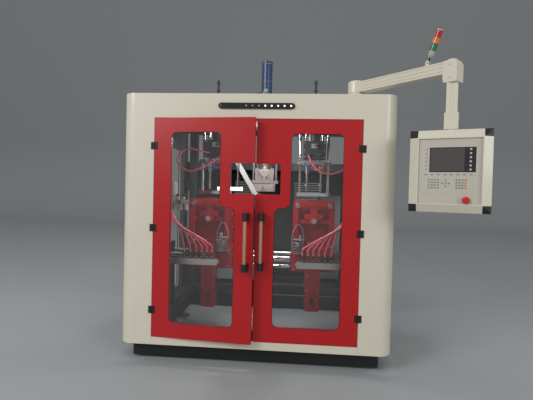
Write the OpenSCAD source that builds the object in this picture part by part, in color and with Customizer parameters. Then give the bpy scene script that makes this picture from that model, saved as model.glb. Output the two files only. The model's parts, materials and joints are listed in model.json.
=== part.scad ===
// Double-station blow moulding machine with a glazed front, a swing-arm control panel and a rear extruder.
// X runs to the right along the front, Y runs into the machine and Z runs up.
// The origin is on the floor, at the middle of the four corner anchor holes.

/* [Enclosure] */
// Width over the side panels
body_w = 2400; // [2300:10:2600]
// Height of the roof above the floor
body_h = 2378; // [2340:1:2500]
// Length from the door plane to the rear wall
total_depth = 3700; // [3600:10:4000]
// Depth of the tall front cabin
cabin_depth = 2070; // [2060:10:2140]
// Height of the low rear housing
rear_h = 1925; // [1900:1:1960]
// Height of the underside of the panels
plinth_h = 160; // [140:1:180]
// Radius of the vertical front corners
corner_r = 115; // [90:1:125]
// Thickness of the cladding sheet
sheet_t = 3; // [2:0.5:4]
// Drop from the roof to the joint between the upper fascia and the side sheet
fascia_drop = 278; // [228:1:298]

/* [Base and inner frame] */
// Inset of the black base from the cladding
base_inset = 100; // [80:1:110]
// Width of the base beams
beam_w = 80; // [60:1:90]
// Thickness of the steel pads under the base
pad_t = 20; // [15:1:30]
// Diameter of the anchor holes in the pads
anchor_d = 22; // [18:1:26]
// Section of the square inner columns
column_w = 100; // [80:1:110]
// Clearance left at a weld between two tubes
weld_gap = 0.2; // [0.1:0.05:0.3]

/* [Doors] */
// Distance of each hinge edge from the middle of the front
door_edge = 901; // [880:1:920]
// Height of the lower edge of the doors
door_z0 = 231; // [225:1:250]
// Drop from the roof to the upper edge of the doors
door_drop = 215; // [198:1:248]
// Thickness of a door tray
door_t = 30; // [25:1:35]
// Gap round each door
door_gap = 3; // [2:0.5:5]
// Angle at which the left door stands ajar
door_ajar = 5.2; // [0.5:0.1:12]
// Outer edge of each window from the middle of the front
win_outer = 745; // [720:1:760]
// Inner edge of the upper part of each window
win_upper = 301; // [290:1:330]
// Inner edge of the lower part of each window
win_lower = 167; // [150:1:180]
// Lower edge of the windows
win_z0 = 362; // [340:1:380]
// Height of the step in the windows
win_step = 1397; // [1380:1:1410]
// Margin between the windows and the upper edge of the doors
win_margin = 125; // [113:1:163]
// Corner radius of the windows
win_r = 50; // [30:1:60]
// Half width of the viewing hole in the door edges
hole_half = 214; // [190:1:230]
// Lower edge of the viewing hole
hole_z0 = 1514; // [1490:1:1580]
// Upper edge of the viewing hole
hole_z1 = 1776; // [1760:1:1800]
// Thickness of the clear panes
pane_t = 5; // [3:0.5:8]
// Distance of the pull handles from the middle of the front
handle_x = 60; // [55:1:80]
// Diameter of the handle tubes
handle_d = 30; // [25:1:35]
// Height of the lower end of the handles
handle_z0 = 862; // [800:1:900]
// Height of the upper end of the handles
handle_z1 = 1353; // [1300:1:1380]
// Reach of the handles in front of the doors
handle_reach = 62; // [50:1:75]
// Height of a hinge
hinge_h = 63; // [50:1:70]
// Width of one hinge leaf
hinge_leaf = 30; // [25:1:34]
// Diameter of the hinge barrel
hinge_barrel = 12; // [10:1:16]
// Diameter of the hinge pin
hinge_pin = 6; // [4:0.5:7]

/* [Moulding stations] */
// Distance of each station from the middle
station_x = 530; // [500:1:530]
// Depth of the mould and die head plane behind the doors
mould_d = 920; // [900:1:940]
// Diameter of the carriage guide rods
rod_d = 40; // [32:1:44]
// Height of the lower guide rods
rod_low_z = 762; // [750:1:770]
// Height of the upper guide rods
rod_high_z = 846; // [840:1:850]
// Width of a clamp plate
clamp_w = 412; // [390:1:420]
// Height of the top of the clamp yokes
clamp_top = 1450; // [1430:1:1470]
// Thickness of a clamp yoke
yoke_t = 60; // [50:1:64]
// Thickness of a platen
platen_t = 50; // [40:1:52]
// Thickness of one mould half
mould_t = 90; // [80:1:92]
// Opening stroke of each platen
clamp_stroke = 80; // [70:1:84]
// Diameter of the clamp tie bars
tie_d = 32; // [25:1:36]
// Width of the hanging clamp leg
leg_w = 154; // [120:1:160]
// Height of the foot of the clamp leg
leg_z0 = 342; // [330:1:380]
// Bottles in one mould and nozzles in the die head
cavities = 2; // [1:1:2]
// Spacing of the bottles and nozzles
cavity_pitch = 150; // [130:1:156]
// Radius of a bottle cavity
bottle_r = 48; // [35:1:54]
// Running clearance of a sliding fit
run_fit = 0.05; // [0.02:0.01:0.1]

/* [Die head and blowing units] */
// Height of the nozzle faces
nozzle_z = 1560; // [1555:1:1575]
// Height of the extruder axis
extruder_z = 2080; // [2070:1:2095]
// Diameter of the parison control cylinder
control_d = 114; // [100:1:125]
// Rise of the parison control cylinder above the roof
control_rise = 561; // [472:1:572]
// Half spacing of the blowing unit guide rods
blow_half = 150; // [140:1:158]
// Diameter of the blowing unit guide rods
blow_rod_d = 28; // [20:1:32]
// Stroke of a blowing unit
blow_stroke = 130; // [100:1:135]
// Rise of the blowing unit spindles above the roof
spindle_rise = 362; // [272:1:382]

/* [Extruder] */
// Outer diameter of the barrel
barrel_d = 110; // [100:1:124]
// Diameter of the screw
screw_d = 60; // [50:1:66]
// Radial clearance of the screw in the barrel
screw_fit = 0.5; // [0.3:0.1:0.8]
// Depth of the rear end of the barrel behind the doors
barrel_end = 2420; // [2400:1:2440]
// Depth of the hopper axis behind the doors
hopper_d = 2300; // [2290:1:2310]
// Diameter of the hopper
hopper_w = 560; // [480:1:600]
// Height of the top of the hopper
hopper_top = 2830; // [2700:1:2840]

/* [Control panel and arm] */
// Arm pivot from the middle of the machine
arm_x = 880; // [850:1:900]
// Depth of the arm pivot behind the doors
arm_d = 357; // [340:1:380]
// Distance between the arm pivot and the panel pivot
arm_len = 903; // [880:1:960]
// Angle of the arm towards the operator
arm_angle = 45.6; // [43:0.1:50]
// Height of the arm's centre line above the roof
arm_rise = 134; // [126:1:162]
// Width of the arm profile
arm_w = 88; // [80:1:110]
// Height of the arm profile
arm_h = 94; // [90:1:112]
// Angle of the panel to the machine front
panel_angle = 21; // [5:1:40]
// Width of the panel
panel_w = 568; // [560:1:620]
// Height of the panel
panel_h = 620; // [560:1:640]
// Depth of the panel
panel_t = 180; // [150:1:220]
// Drop from the arm's centre line to the underside of the panel
panel_drop = 1097; // [1080:1:1120]
// Width of the sloping border of the panel
border_w = 60; // [50:1:65]
// Lean of the signal tower
tower_lean = 21; // [0:1:30]

/* [Hidden] */
$fn = 48;
eps = 0.01;

half_w = body_w / 2;
// Y of the door plane, so that the anchor holes are centred on the origin
front_y = -total_depth / 2;
function fy(depth) = front_y + depth;

white_paint = [0.86, 0.85, 0.80];
red_paint = [0.72, 0.11, 0.13];
dark_steel = [0.20, 0.21, 0.22];
black_part = [0.06, 0.06, 0.07];
bright_steel = [0.78, 0.79, 0.80];
clear_sheet = [0.75, 0.82, 0.85, 0.35];

fascia_z = body_h - fascia_drop;
door_z1 = body_h - door_drop;
win_z1 = door_z1 - win_margin;
control_top = body_h + control_rise;
spindle_top = body_h + spindle_rise;
arm_z = body_h + arm_rise;
panel_z0 = arm_z - panel_drop;

base_x = half_w - base_inset;
base_d0 = base_inset;
base_d1 = total_depth - base_inset;
pad_l = 140;
pad_reach = 180;
anchor_x = base_x - pad_reach + 50;
anchor_d0 = base_d0 + beam_w + 50;
pad_mid_d = 1310;
pad_depths = [anchor_d0, pad_mid_d, total_depth - pad_mid_d, total_depth - anchor_d0];

column_x1 = base_x + 10;
column_x0 = column_x1 - column_w;
column_d0 = corner_r + 25;
mid_column_d = cabin_depth - 40 - column_w;
rear_column_d = total_depth - 120 - column_w;
top_beam_h = 80;
top_beam_w = 60;
deck_beam_h = 100;
deck_beam_xs = [-260, 180];
top_beam_z = body_h - sheet_t - 5 - top_beam_h;
bed_z = plinth_h + column_w;
head_beam_gap = 120;
bearer_ds = [2640, 3160];
bearer_h = 70;
pillar_reach = 260;
pillar_rise = 90;

hinge_out = hinge_barrel / 2;
leaf_t = 4;
hinge_zs = [door_z0 + 240, (door_z0 + door_z1) / 2, door_z1 - 245];
knuckle_h = hinge_h / 3;
knuckle_gap = 0.4;

tie_z0 = 1010;
tie_z1 = clamp_top - 45;
tie_x = clamp_w / 2 - 45;
front_yoke_d0 = mould_d - 330;
rear_yoke_d1 = mould_d + 330;
table_z0 = rod_high_z + rod_d / 2 + 40;
table_z1 = table_z0 + 30;
platen_z0 = table_z1 + 15;
platen_z1 = clamp_top - 10;
mould_z0 = platen_z0 + 50;
mould_z1 = clamp_top - 12;
mould_w = 2 * (tie_x - tie_d / 2 - 5);
parting_gap = 0.3;
// Height of the ram and of the cross bar above it
boss_z = clamp_top - 195;
ram_d = 50;

head_beam_d0 = mould_d - head_beam_gap / 2 - 60;
head_beam_d1 = mould_d + head_beam_gap / 2 + 60;
hanger_z = top_beam_z - 20;
lower_plate_z = 1500;
lower_plate_t = 34;
pin_d = 24;
cross_z = hanger_z - 434;
cross_t = 36;
spindle_d = 24;
blow_cyl_r = 60;
blow_cyl_z = hanger_z - 375;
blow_block_h = 190;
port_x = 55;
port_height = blow_cyl_z + 45;
elbow_half = 10.5;
seat_gap = 0.2;

head_plate_z = 1625;
head_plate_t = 30;
neck_r = 68;
neck_top = extruder_z + 110;
flange_r = barrel_d / 2 + 22;
barrel_room = 10;
stand_w = 300;
hanger_w = 400;
brace_d = 590;
brace_t = 12;
brace_x = [-300, -250];
brace_bend = 1860;
brace_foot = 1500;
lamp_d = 500;
lamp_z = 1557;
lamp_x = [-432, -183];
lamp_rod_x = -234;
lamp_shelf_t = 30;
cutter_z = 1600;
cutter_rod_x = 108;
cutter_rod_r = 8;
post_x = 123;
post_d = 25;
barrel_start = mould_d + 75;
throat_h = 100;
throat_l = 80;
support_d = mid_column_d + 30;
support_t = 40;

root_r = 75;
arm_z0 = arm_z - arm_h / 2;
arm_z1 = arm_z + arm_h / 2;
elbow_z0 = arm_z0 - 69;
weld_depth = 1;
elbow_w = 108;
elbow_cap_r = 46;
tube_w = 80;
tube_groove = [24, 3];
coupling_w = 100;
panel_top = panel_z0 + panel_h;
coupling_z1 = panel_top + 131;
swivel_h = 6;
swivel_r = 46;
spigot_r = 30;
spigot_h = 70;
tower_at = 700;
tower_pivot = 34;
tower_r = 26;
stop_stem_r = 11;
stop_head_r = 26;
estop_x = 116;
estop_z = panel_z0 + 96;
face_y = -panel_t / 2 + 14;

// A block given by its ends in X, in depth behind the doors and in Z
module block(x, d, z) {
  translate([x[0], fy(d[0]), z[0]]) cube([x[1] - x[0], d[1] - d[0], z[1] - z[0]]);
}

module both_sides() {
  children();
  mirror([1, 0, 0]) children();
}

// A rectangle with round corners, drawn from arcs and straight sides
module round_rect(x0, y0, x1, y1, r) {
  union() {
    translate([x0 + r, y0]) square([x1 - x0 - 2 * r, y1 - y0]);
    translate([x0, y0 + r]) square([x1 - x0, y1 - y0 - 2 * r]);
    for (x = [x0 + r, x1 - r], y = [y0 + r, y1 - r]) translate([x, y]) circle(r);
  }
}

// A flat outline in X and Z made solid from depth d0 to d1
module upright(d0, d1) {
  translate([0, fy(d1), 0]) rotate([90, 0, 0]) linear_extrude(d1 - d0) children();
}

// A cylinder along the depth
module depth_rod(x, z, d0, d1, r) {
  translate([x, fy(d1), z]) rotate([90, 0, 0]) cylinder(r = r, h = d1 - d0);
}

module upright_rod(x, d, z0, z1, r) {
  translate([x, fy(d), z0]) cylinder(r = r, h = z1 - z0);
}

function unit(v) = v / norm(v);
function spline(a, b, c, d, t) =
  0.5 * (2 * b + (c - a) * t + (2 * a - 5 * b + 4 * c - d) * t * t + (3 * b - a - 3 * c + d) * t * t * t);
// A smooth route through hand-picked points, with a few steps on each stretch
function smooth(p, steps) = concat([
  for (i = [0:len(p) - 2], s = [0:steps - 1])
    let (a = p[max(i - 1, 0)], d = p[min(i + 2, len(p) - 1)])
      spline(a, p[i], p[i + 1], d, s / steps)
], [p[len(p) - 1]]);
function tangent(p, i) = unit(p[min(i + 1, len(p) - 1)] - p[max(i - 1, 0)]);

// A tube swept along a route that never runs parallel to the guide direction
module swept_tube(route, r, guide, sides = 8) {
  count = len(route);
  rings = [
    for (i = [0:count - 1])
      let (t = tangent(route, i), u = unit(cross(guide, t)), v = cross(t, u))
        for (k = [0:sides - 1])
          route[i] + r * (cos(360 * k / sides) * u + sin(360 * k / sides) * v)
  ];
  walls = [
    for (i = [0:count - 2], k = [0:sides - 1])
      [i * sides + k, (i + 1) * sides + k, (i + 1) * sides + (k + 1) % sides, i * sides + (k + 1) % sides]
  ];
  first_cap = [[for (k = [0:sides - 1]) k]];
  last_cap = [[for (k = [sides - 1:-1:0]) (count - 1) * sides + k]];
  polyhedron(points = rings, faces = concat(first_cap, walls, last_cap), convexity = 6);
}

// The room that the head's neck and the barrel need where a beam or plate would meet them
module neck_room() {
  upright_rod(0, mould_d, head_plate_z, neck_top + barrel_room, neck_r + barrel_room);
  depth_rod(0, extruder_z, mould_d, barrel_end, flange_r + barrel_room);
}

module base_frame() {
  beam_z0 = pad_t;
  cross_depths = [base_d0, (base_d0 + base_d1 - beam_w) / 2, base_d1 - beam_w];
  color(black_part) {
    both_sides() block([base_x - beam_w, base_x], [base_d0, base_d1], [beam_z0, plinth_h]);
    for (d = cross_depths)
      block([-base_x + beam_w + weld_gap, base_x - beam_w - weld_gap], [d, d + beam_w], [beam_z0, plinth_h]);
  }
}

module levelling_pads() {
  color(dark_steel) both_sides() for (d = pad_depths) {
    difference() {
      block([base_x - pad_reach, base_x], [d - pad_l / 2, d + pad_l / 2], [0, pad_t]);
      translate([anchor_x, fy(d), -1]) cylinder(d = anchor_d, h = pad_t + 2);
    }
  }
}

module inner_frame() {
  column_ds = [column_d0, mid_column_d];
  inner_x = column_x0 - weld_gap;
  deck_beam_z = [rear_h - sheet_t - deck_beam_h, rear_h - sheet_t];
  color(dark_steel) {
    both_sides() {
      for (d = column_ds)
        block([column_x0, column_x1], [d, d + column_w], [bed_z + weld_gap, top_beam_z - weld_gap]);
      block([column_x0, column_x1], [rear_column_d, rear_column_d + column_w],
            [bed_z + weld_gap, rear_h - sheet_t]);
      block([column_x0, column_x1], [column_d0, rear_column_d + column_w], [plinth_h, bed_z]);
      block([column_x0, column_x1], [column_d0, mid_column_d + column_w],
            [top_beam_z, top_beam_z + top_beam_h]);
      block([column_x0, column_x1],
            [mid_column_d + column_w + weld_gap, rear_column_d - weld_gap], deck_beam_z);
      block([column_x0 + 50, column_x1 - 5],
            [mould_d - pillar_reach, mould_d + pillar_reach], [bed_z + weld_gap, rod_high_z + pillar_rise]);
    }
    for (d = [column_d0, mid_column_d])
      block([-inner_x, inner_x], [d, d + column_w], [plinth_h, bed_z]);
    block([-inner_x, inner_x], [rear_column_d, rear_column_d + column_w], [plinth_h, bed_z]);
    difference() {
      for (d = [column_d0, mid_column_d + column_w - top_beam_w, head_beam_d0, head_beam_d1 - top_beam_w])
        block([-inner_x, inner_x], [d, d + top_beam_w], [top_beam_z, top_beam_z + top_beam_h]);
      neck_room();
    }
    for (d = [mid_column_d, rear_column_d])
      block([-inner_x, inner_x], [d, d + column_w], deck_beam_z);
    for (d = bearer_ds)
      block([-inner_x, inner_x], [d, d + beam_w], [bed_z - bearer_h, bed_z]);
    for (x = deck_beam_xs)
      block([x, x + beam_w],
            [mid_column_d + column_w + weld_gap, rear_column_d - weld_gap], deck_beam_z);
  }
}

// Plan outline of the wrapped front, inset by a distance
module front_plan(inset) {
  r = corner_r - inset;
  x1 = half_w - inset;
  translate([0, front_y]) union() {
    translate([-x1 + r, inset]) square([2 * x1 - 2 * r, corner_r + 60]);
    translate([-x1, corner_r]) square([2 * x1, 60 + inset]);
    for (x = [-x1 + r, x1 - r]) translate([x, corner_r]) circle(r);
  }
}

module front_surround() {
  opening_x = door_edge + door_gap;
  top_z = door_z1 + door_gap;
  color(white_paint) difference() {
    translate([0, 0, plinth_h]) linear_extrude(body_h - plinth_h) difference() {
      front_plan(0);
      front_plan(sheet_t);
      translate([-half_w - 1, fy(corner_r + 60)]) square([body_w + 2, 100]);
    }
    block([-opening_x, opening_x], [-1, sheet_t + 1], [plinth_h - 1, top_z]);
  }
  color(white_paint) {
    both_sides()
      block([opening_x, opening_x + sheet_t], [sheet_t, door_t + sheet_t], [plinth_h, top_z + sheet_t]);
    block([-opening_x, opening_x], [sheet_t, door_t + sheet_t], [top_z, top_z + sheet_t]);
  }
}

module sill_panel() {
  sill_x = door_edge + door_gap - 1;
  sill_top = door_z0 - door_gap;
  color(white_paint) {
    block([-sill_x, sill_x], [0, sheet_t], [plinth_h, sill_top]);
    block([-sill_x, sill_x], [sheet_t, door_t], [sill_top - sheet_t, sill_top]);
    block([-sill_x, sill_x], [sheet_t, column_d0], [plinth_h, plinth_h + sheet_t]);
  }
}

side_d0 = corner_r + 60;
side_win = [690, 1710];
side_win_z = [285, fascia_z - 40];

module side_sheet() {
  // The front and rear returns of the side sheet fold inwards
  fold = 24;
  difference() {
    union() {
      block([half_w - sheet_t, half_w], [side_d0, cabin_depth], [plinth_h, body_h]);
      block([half_w - fold, half_w - sheet_t], [cabin_depth - sheet_t, cabin_depth], [rear_h, body_h]);
      block([half_w - fold, half_w - sheet_t],
            [side_win[0] - sheet_t, side_win[1] + sheet_t],
            [side_win_z[0] - sheet_t, side_win_z[1] + sheet_t]);
    }
    block([half_w - fold - 1, half_w + 1], side_win, side_win_z);
    block([half_w - 1, half_w + 1], [side_d0 - 1, cabin_depth + 1], [fascia_z, fascia_z + 2]);
  }
}

module side_panel_left() {
  color(white_paint) mirror([1, 0, 0]) side_sheet();
}

module side_panel_right() {
  color(white_paint) side_sheet();
}

service_d = [2560, 3420];
service_z = [240, 1535];
// The rear window lies between the cabin's edge and the service opening
rear_win = [cabin_depth + 40, service_d[0] - 50];
rear_win_z = [860, service_z[1]];
louvre_h = 12;
louvre_pitch = 40;
louvre_w = 460;
left_louvres = [2900, 3300];
left_louvre_z = 420;
rear_louvre_xs = [-760, 300];
rear_louvre_z = 1250;

module window_panes() {
  pane_in = sheet_t + 8;
  color(clear_sheet) both_sides() {
    block([half_w - pane_in - pane_t, half_w - pane_in],
          [side_win[0] + 0.3, side_win[1] - 0.3], [side_win_z[0] + 0.3, side_win_z[1] - 0.3]);
    block([half_w - pane_in - pane_t, half_w - pane_in],
          [rear_win[0] + 0.3, rear_win[1] - 0.3], [rear_win_z[0] + 0.3, rear_win_z[1] - 0.3]);
  }
}

module rear_side(opening) {
  fold = 24;
  difference() {
    union() {
      block([half_w - sheet_t, half_w], [cabin_depth + weld_gap, total_depth - sheet_t], [plinth_h, rear_h]);
      block([half_w - fold, half_w - sheet_t],
            [rear_win[0] - sheet_t, rear_win[1] + sheet_t],
            [rear_win_z[0] - sheet_t, rear_win_z[1] + sheet_t]);
      if (opening)
        block([half_w - fold, half_w - sheet_t],
              [service_d[0] - sheet_t, service_d[1] + sheet_t],
              [service_z[0] - sheet_t, service_z[1] + sheet_t]);
    }
    block([half_w - fold - 1, half_w + 1], rear_win, rear_win_z);
    if (opening)
      block([half_w - fold - 1, half_w + 1], service_d, service_z);
    else
      for (row = [0:9]) let (z = left_louvre_z + row * louvre_pitch)
        block([half_w - sheet_t - 1, half_w + 1], left_louvres, [z, z + louvre_h]);
  }
}

module rear_side_left() {
  color(white_paint) mirror([1, 0, 0]) rear_side(false);
}

module rear_side_right() {
  color(white_paint) rear_side(true);
}

module rear_wall() {
  wall_d = total_depth - sheet_t;
  color(white_paint) difference() {
    block([-half_w, half_w], [wall_d, total_depth], [plinth_h, rear_h]);
    for (x = rear_louvre_xs, row = [0:11]) let (z = rear_louvre_z + row * louvre_pitch)
      block([x, x + louvre_w], [wall_d - 1, total_depth + 1], [z, z + louvre_h]);
  }
}

roof_open_x = 250;
roof_open_d0 = 600;

module roof_panel() {
  // The sheet lies inside the top edge of the surround and the side sheets
  roof_z0 = top_beam_z + top_beam_h;
  edge = sheet_t + 0.3;
  color(white_paint) difference() {
    translate([0, 0, roof_z0]) linear_extrude(body_h - roof_z0) union() {
      difference() {
        front_plan(edge);
        translate([-half_w, fy(side_d0)]) square([body_w, 100]);
      }
      translate([-half_w + edge, fy(side_d0)]) square([body_w - 2 * edge, cabin_depth - side_d0 - edge]);
    }
    block([-roof_open_x, roof_open_x], [roof_open_d0, cabin_depth + 1], [roof_z0 - 1, body_h + 1]);
    block([-half_w + 40, half_w - 40], [side_d0, cabin_depth], [roof_z0 - 1, body_h - sheet_t]);
    for (x = [-station_x, station_x])
      translate([x, fy(mould_d), roof_z0 - 1]) cylinder(r = 40, h = 20);
  }
}

module rear_deck() {
  color(white_paint)
    block([-half_w + sheet_t + 0.3, half_w - sheet_t - 0.3],
          [cabin_depth + 0.3, total_depth - sheet_t - 0.3], [rear_h - sheet_t, rear_h]);
}

sign_x = [-337, 322];
sign_z = [body_h - 132, body_h - 81];
sign_t = 12;
dot_pitch = 55;
dot_x0 = -97;
dot_r = 8;

module sign_bar() {
  color(black_part) difference() {
    upright(-sign_t, 0) round_rect(sign_x[0], sign_z[0], sign_x[1], sign_z[1], 25);
    for (i = [0:7])
      depth_rod(dot_x0 + i * dot_pitch, (sign_z[0] + sign_z[1]) / 2 + 1.5, -sign_t - 1, -sign_t / 2, dot_r);
  }
}

// One hinge half in door coordinates: X from the hinge axis to the free edge, Y into the door
module knuckle(z0, z1) {
  translate([0, -hinge_out, z0 + knuckle_gap]) difference() {
    cylinder(d = hinge_barrel, h = z1 - z0 - 2 * knuckle_gap);
    translate([0, 0, -1]) cylinder(d = hinge_pin + 2 * run_fit, h = z1 - z0 + 2);
  }
}

module hinge_moving(z) {
  leaf_from = hinge_out - 0.5;
  difference() {
    translate([leaf_from - 4, -leaf_t, z - hinge_h / 2])
      cube([hinge_leaf + 4 - leaf_from, leaf_t - eps, hinge_h]);
    for (end = [-1, 1])
      translate([-1, -leaf_t - 1, z + end * knuckle_h - knuckle_h / 2 - knuckle_gap])
        cube([hinge_out + 1.5, leaf_t + 2, knuckle_h + 2 * knuckle_gap]);
    translate([0, -hinge_out, z - hinge_h]) cylinder(d = hinge_pin + 2 * run_fit, h = 2 * hinge_h);
  }
  knuckle(z - knuckle_h / 2, z + knuckle_h / 2);
}

module hinge_fixed(z) {
  difference() {
    translate([-hinge_leaf, -leaf_t, z - hinge_h / 2]) cube([hinge_leaf - 1.5, leaf_t - eps, hinge_h]);
    translate([-hinge_out - 0.6, -leaf_t - 1, z - knuckle_h / 2 - knuckle_gap])
      cube([hinge_out + 2, leaf_t + 2, knuckle_h + 2 * knuckle_gap]);
    translate([0, -hinge_out, z - hinge_h]) cylinder(d = hinge_pin - 1, h = 2 * hinge_h);
  }
  for (end = [-1, 1]) translate([0, -hinge_out, z + end * knuckle_h - knuckle_h / 2])
    cylinder(d = hinge_barrel, h = knuckle_h);
  translate([0, -hinge_out, z - hinge_h / 2]) cylinder(d = hinge_pin, h = hinge_h);
}

module frame_hinges() {
  color(black_part) both_sides()
    translate([-door_edge, front_y, 0]) for (z = hinge_zs) hinge_fixed(z);
  color(black_part) on_service_edge() for (z = service_zs) hinge_fixed(z);
}

// Points of an arc, which runs clockwise where the second angle is the smaller
function arc(x, y, r, a0, a1, steps = 8) =
  [for (i = [0:steps]) let (a = a0 + (a1 - a0) * i / steps) [x + r * cos(a), y + r * sin(a)]];

// Window outline in door coordinates, where X runs from the hinge edge to the free edge
module window_shape(inset) {
  x0 = door_edge - win_outer + inset;
  x_up = door_edge - win_upper - inset;
  x_low = door_edge - win_lower - inset;
  z0 = win_z0 + inset;
  z_step = win_step - inset;
  z1 = win_z1 - inset;
  r = win_r - inset;
  fillet = 60 + inset;
  polygon(concat(
    arc(x0 + r, z0 + r, r, 180, 270), arc(x_low - r, z0 + r, r, 270, 360),
    arc(x_low - r, z_step - r, r, 0, 90), arc(x_up + fillet, z_step + fillet, fillet, 270, 180),
    arc(x_up - r, z1 - r, r, 0, 90), arc(x0 + r, z1 - r, r, 90, 180)
  ));
}

module door_outline(inset) {
  difference() {
    translate([inset, door_z0 + inset])
      square([door_edge - 2 - 2 * inset, door_z1 - door_z0 - 2 * inset]);
    translate([door_edge - hole_half - inset, hole_z0 - inset])
      square([hole_half + 10, hole_z1 - hole_z0 + 2 * inset]);
  }
}

// A folded tray: a front skin with a rim round its edge and round the window
module door_leaf() {
  skin = 2.5;
  translate([0, door_t, 0]) rotate([90, 0, 0]) difference() {
    linear_extrude(door_t) difference() {
      door_outline(0);
      window_shape(0);
    }
    translate([0, 0, -eps]) linear_extrude(door_t - skin + eps) difference() {
      door_outline(skin);
      window_shape(-skin);
    }
  }
}

module door_pane() {
  rebate = 2.5;
  translate([0, rebate + 0.3 + pane_t, 0]) rotate([90, 0, 0]) linear_extrude(pane_t) window_shape(0.3);
}

module handle_set() {
  x = door_edge - handle_x;
  block_h = 66;
  block_w = 46;
  difference() {
    translate([x, -handle_reach, handle_z0 + 12]) cylinder(d = handle_d, h = handle_z1 - handle_z0 - 24);
    translate([x, -handle_reach, handle_z0]) cylinder(d = handle_d - 6, h = handle_z1 - handle_z0);
  }
  for (z = [handle_z0, handle_z1 - block_h]) {
    difference() {
      union() {
        translate([x - block_w / 2, -handle_reach, z]) cube([block_w, handle_reach - eps, block_h]);
        translate([x, -handle_reach, z]) cylinder(d = block_w, h = block_h);
      }
      translate([x, -handle_reach, z - 1]) cylinder(d = handle_d + 0.2, h = block_h + 2);
    }
    translate([x, -handle_reach, z == handle_z0 ? z : z + block_h - 11]) cylinder(d = handle_d + 0.2, h = 11);
  }
}

module place_left() {
  translate([-door_edge, fy(-hinge_out), 0]) rotate([0, 0, -door_ajar])
    translate([0, hinge_out, 0]) children();
}

module place_right() {
  mirror([1, 0, 0]) translate([-door_edge, front_y, 0]) children();
}

module left_door_leaf() { color(red_paint) place_left() door_leaf(); }
module left_door_pane() { color(clear_sheet) place_left() door_pane(); }
module left_handle() { color([0.45, 0.42, 0.38]) place_left() handle_set(); }
module left_door_hinges() { color(black_part) place_left() for (z = hinge_zs) hinge_moving(z); }
module right_door_leaf() { color(red_paint) place_right() door_leaf(); }
module right_door_pane() { color(clear_sheet) place_right() door_pane(); }
module right_handle() { color([0.45, 0.42, 0.38]) place_right() handle_set(); }
module right_door_hinges() { color(black_part) place_right() for (z = hinge_zs) hinge_moving(z); }

rod_ds = [mould_d - 170, mould_d + 170];

module guide_rods() {
  color(bright_steel) for (d = rod_ds, z = [rod_low_z, rod_high_z])
    translate([-column_x0 - 50, fy(d), z]) rotate([0, 90, 0]) cylinder(d = rod_d, h = 2 * column_x0 + 100);
}

module tie_positions() {
  for (x = [-tie_x, tie_x], z = [tie_z0, tie_z1]) translate([x, 0, z]) children();
}

// The sliding frame of one station, centred on X = 0
module carriage() {
  cheek_w = 440;
  cheek_t = rod_d + 30;
  color(red_paint) difference() {
    union() {
      for (d = rod_ds)
        block([-cheek_w / 2, cheek_w / 2], [d - cheek_t / 2, d + cheek_t / 2], [rod_low_z - 40, table_z0]);
      block([-clamp_w / 2, clamp_w / 2], [front_yoke_d0, rear_yoke_d1], [table_z0, table_z1]);
    }
    for (d = rod_ds, z = [rod_low_z, rod_high_z])
      translate([-cheek_w / 2 - 1, fy(d), z]) rotate([0, 90, 0])
        cylinder(d = rod_d + 2 * run_fit, h = cheek_w + 2);
  }
  color(red_paint) {
    yoke(front_yoke_d0, true);
    yoke(rear_yoke_d1 - yoke_t, false);
    leg();
  }
  color(bright_steel) tie_positions()
    translate([0, fy(rear_yoke_d1 - yoke_t), 0]) rotate([90, 0, 0])
      cylinder(d = tie_d, h = rear_yoke_d1 - front_yoke_d0 - 2 * yoke_t);
}

// A welded yoke: four bars round a window, with a stem, a cross bar and a boss for the ram
module yoke(d0, front) {
  bar = 50;
  boss_r = 44;
  boss_out = front ? 20 : 0;
  half = clamp_w / 2;
  cross_half = 95;
  difference() {
    union() {
      upright(d0, d0 + yoke_t) difference() {
        translate([-half, table_z1]) square([clamp_w, clamp_top - table_z1]);
        round_rect(-half + bar, table_z1 + bar, half - bar, clamp_top - bar, 12);
      }
      block([-35, 35], [d0 + 8, d0 + yoke_t - 8], [boss_z, clamp_top - bar + 1]);
      block([-cross_half, cross_half], [d0 + 4, d0 + yoke_t - 8], [boss_z + 20, boss_z + 70]);
      block([-half + bar - 1, half - bar + 1], [d0 + 24, d0 + yoke_t - 8], [boss_z - 30, boss_z + 10]);
      depth_rod(0, boss_z, d0 - boss_out, d0 + yoke_t + 20 - boss_out, boss_r);
      if (front) for (x = [-half + 12, half - 38])
        block([x, x + 26], [d0 - 12, d0 + 1], [clamp_top - 38, clamp_top - 12]);
    }
    depth_rod(0, boss_z, d0 - 60, d0 + yoke_t + 60, ram_d / 2 + run_fit);
  }
}

module leg() {
  slot_w = 44;
  upright(front_yoke_d0, front_yoke_d0 + yoke_t) difference() {
    union() {
      translate([-leg_w / 2, leg_z0 + 30]) square([leg_w, table_z0 - leg_z0 - 30 + eps]);
      round_rect(-leg_w / 2, leg_z0, leg_w / 2, leg_z0 + 80, 28);
    }
    round_rect(-slot_w / 2, leg_z0 + 64, slot_w / 2, leg_z0 + 140, slot_w / 2 - 1);
  }
}

function bottle_profile(r) = [
  [0, 0], [r - 8, 0], [r, 10], [r, 150], [r - 6, 178],
  [r - 24, 205], [15, 225], [13, 235], [13, 400], [0, 400]
];

module bottle_cavities() {
  for (i = [0:cavities - 1])
    translate([(i - (cavities - 1) / 2) * cavity_pitch, fy(mould_d), mould_z0 + 90])
      rotate_extrude() polygon(bottle_profile(bottle_r));
}

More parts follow.
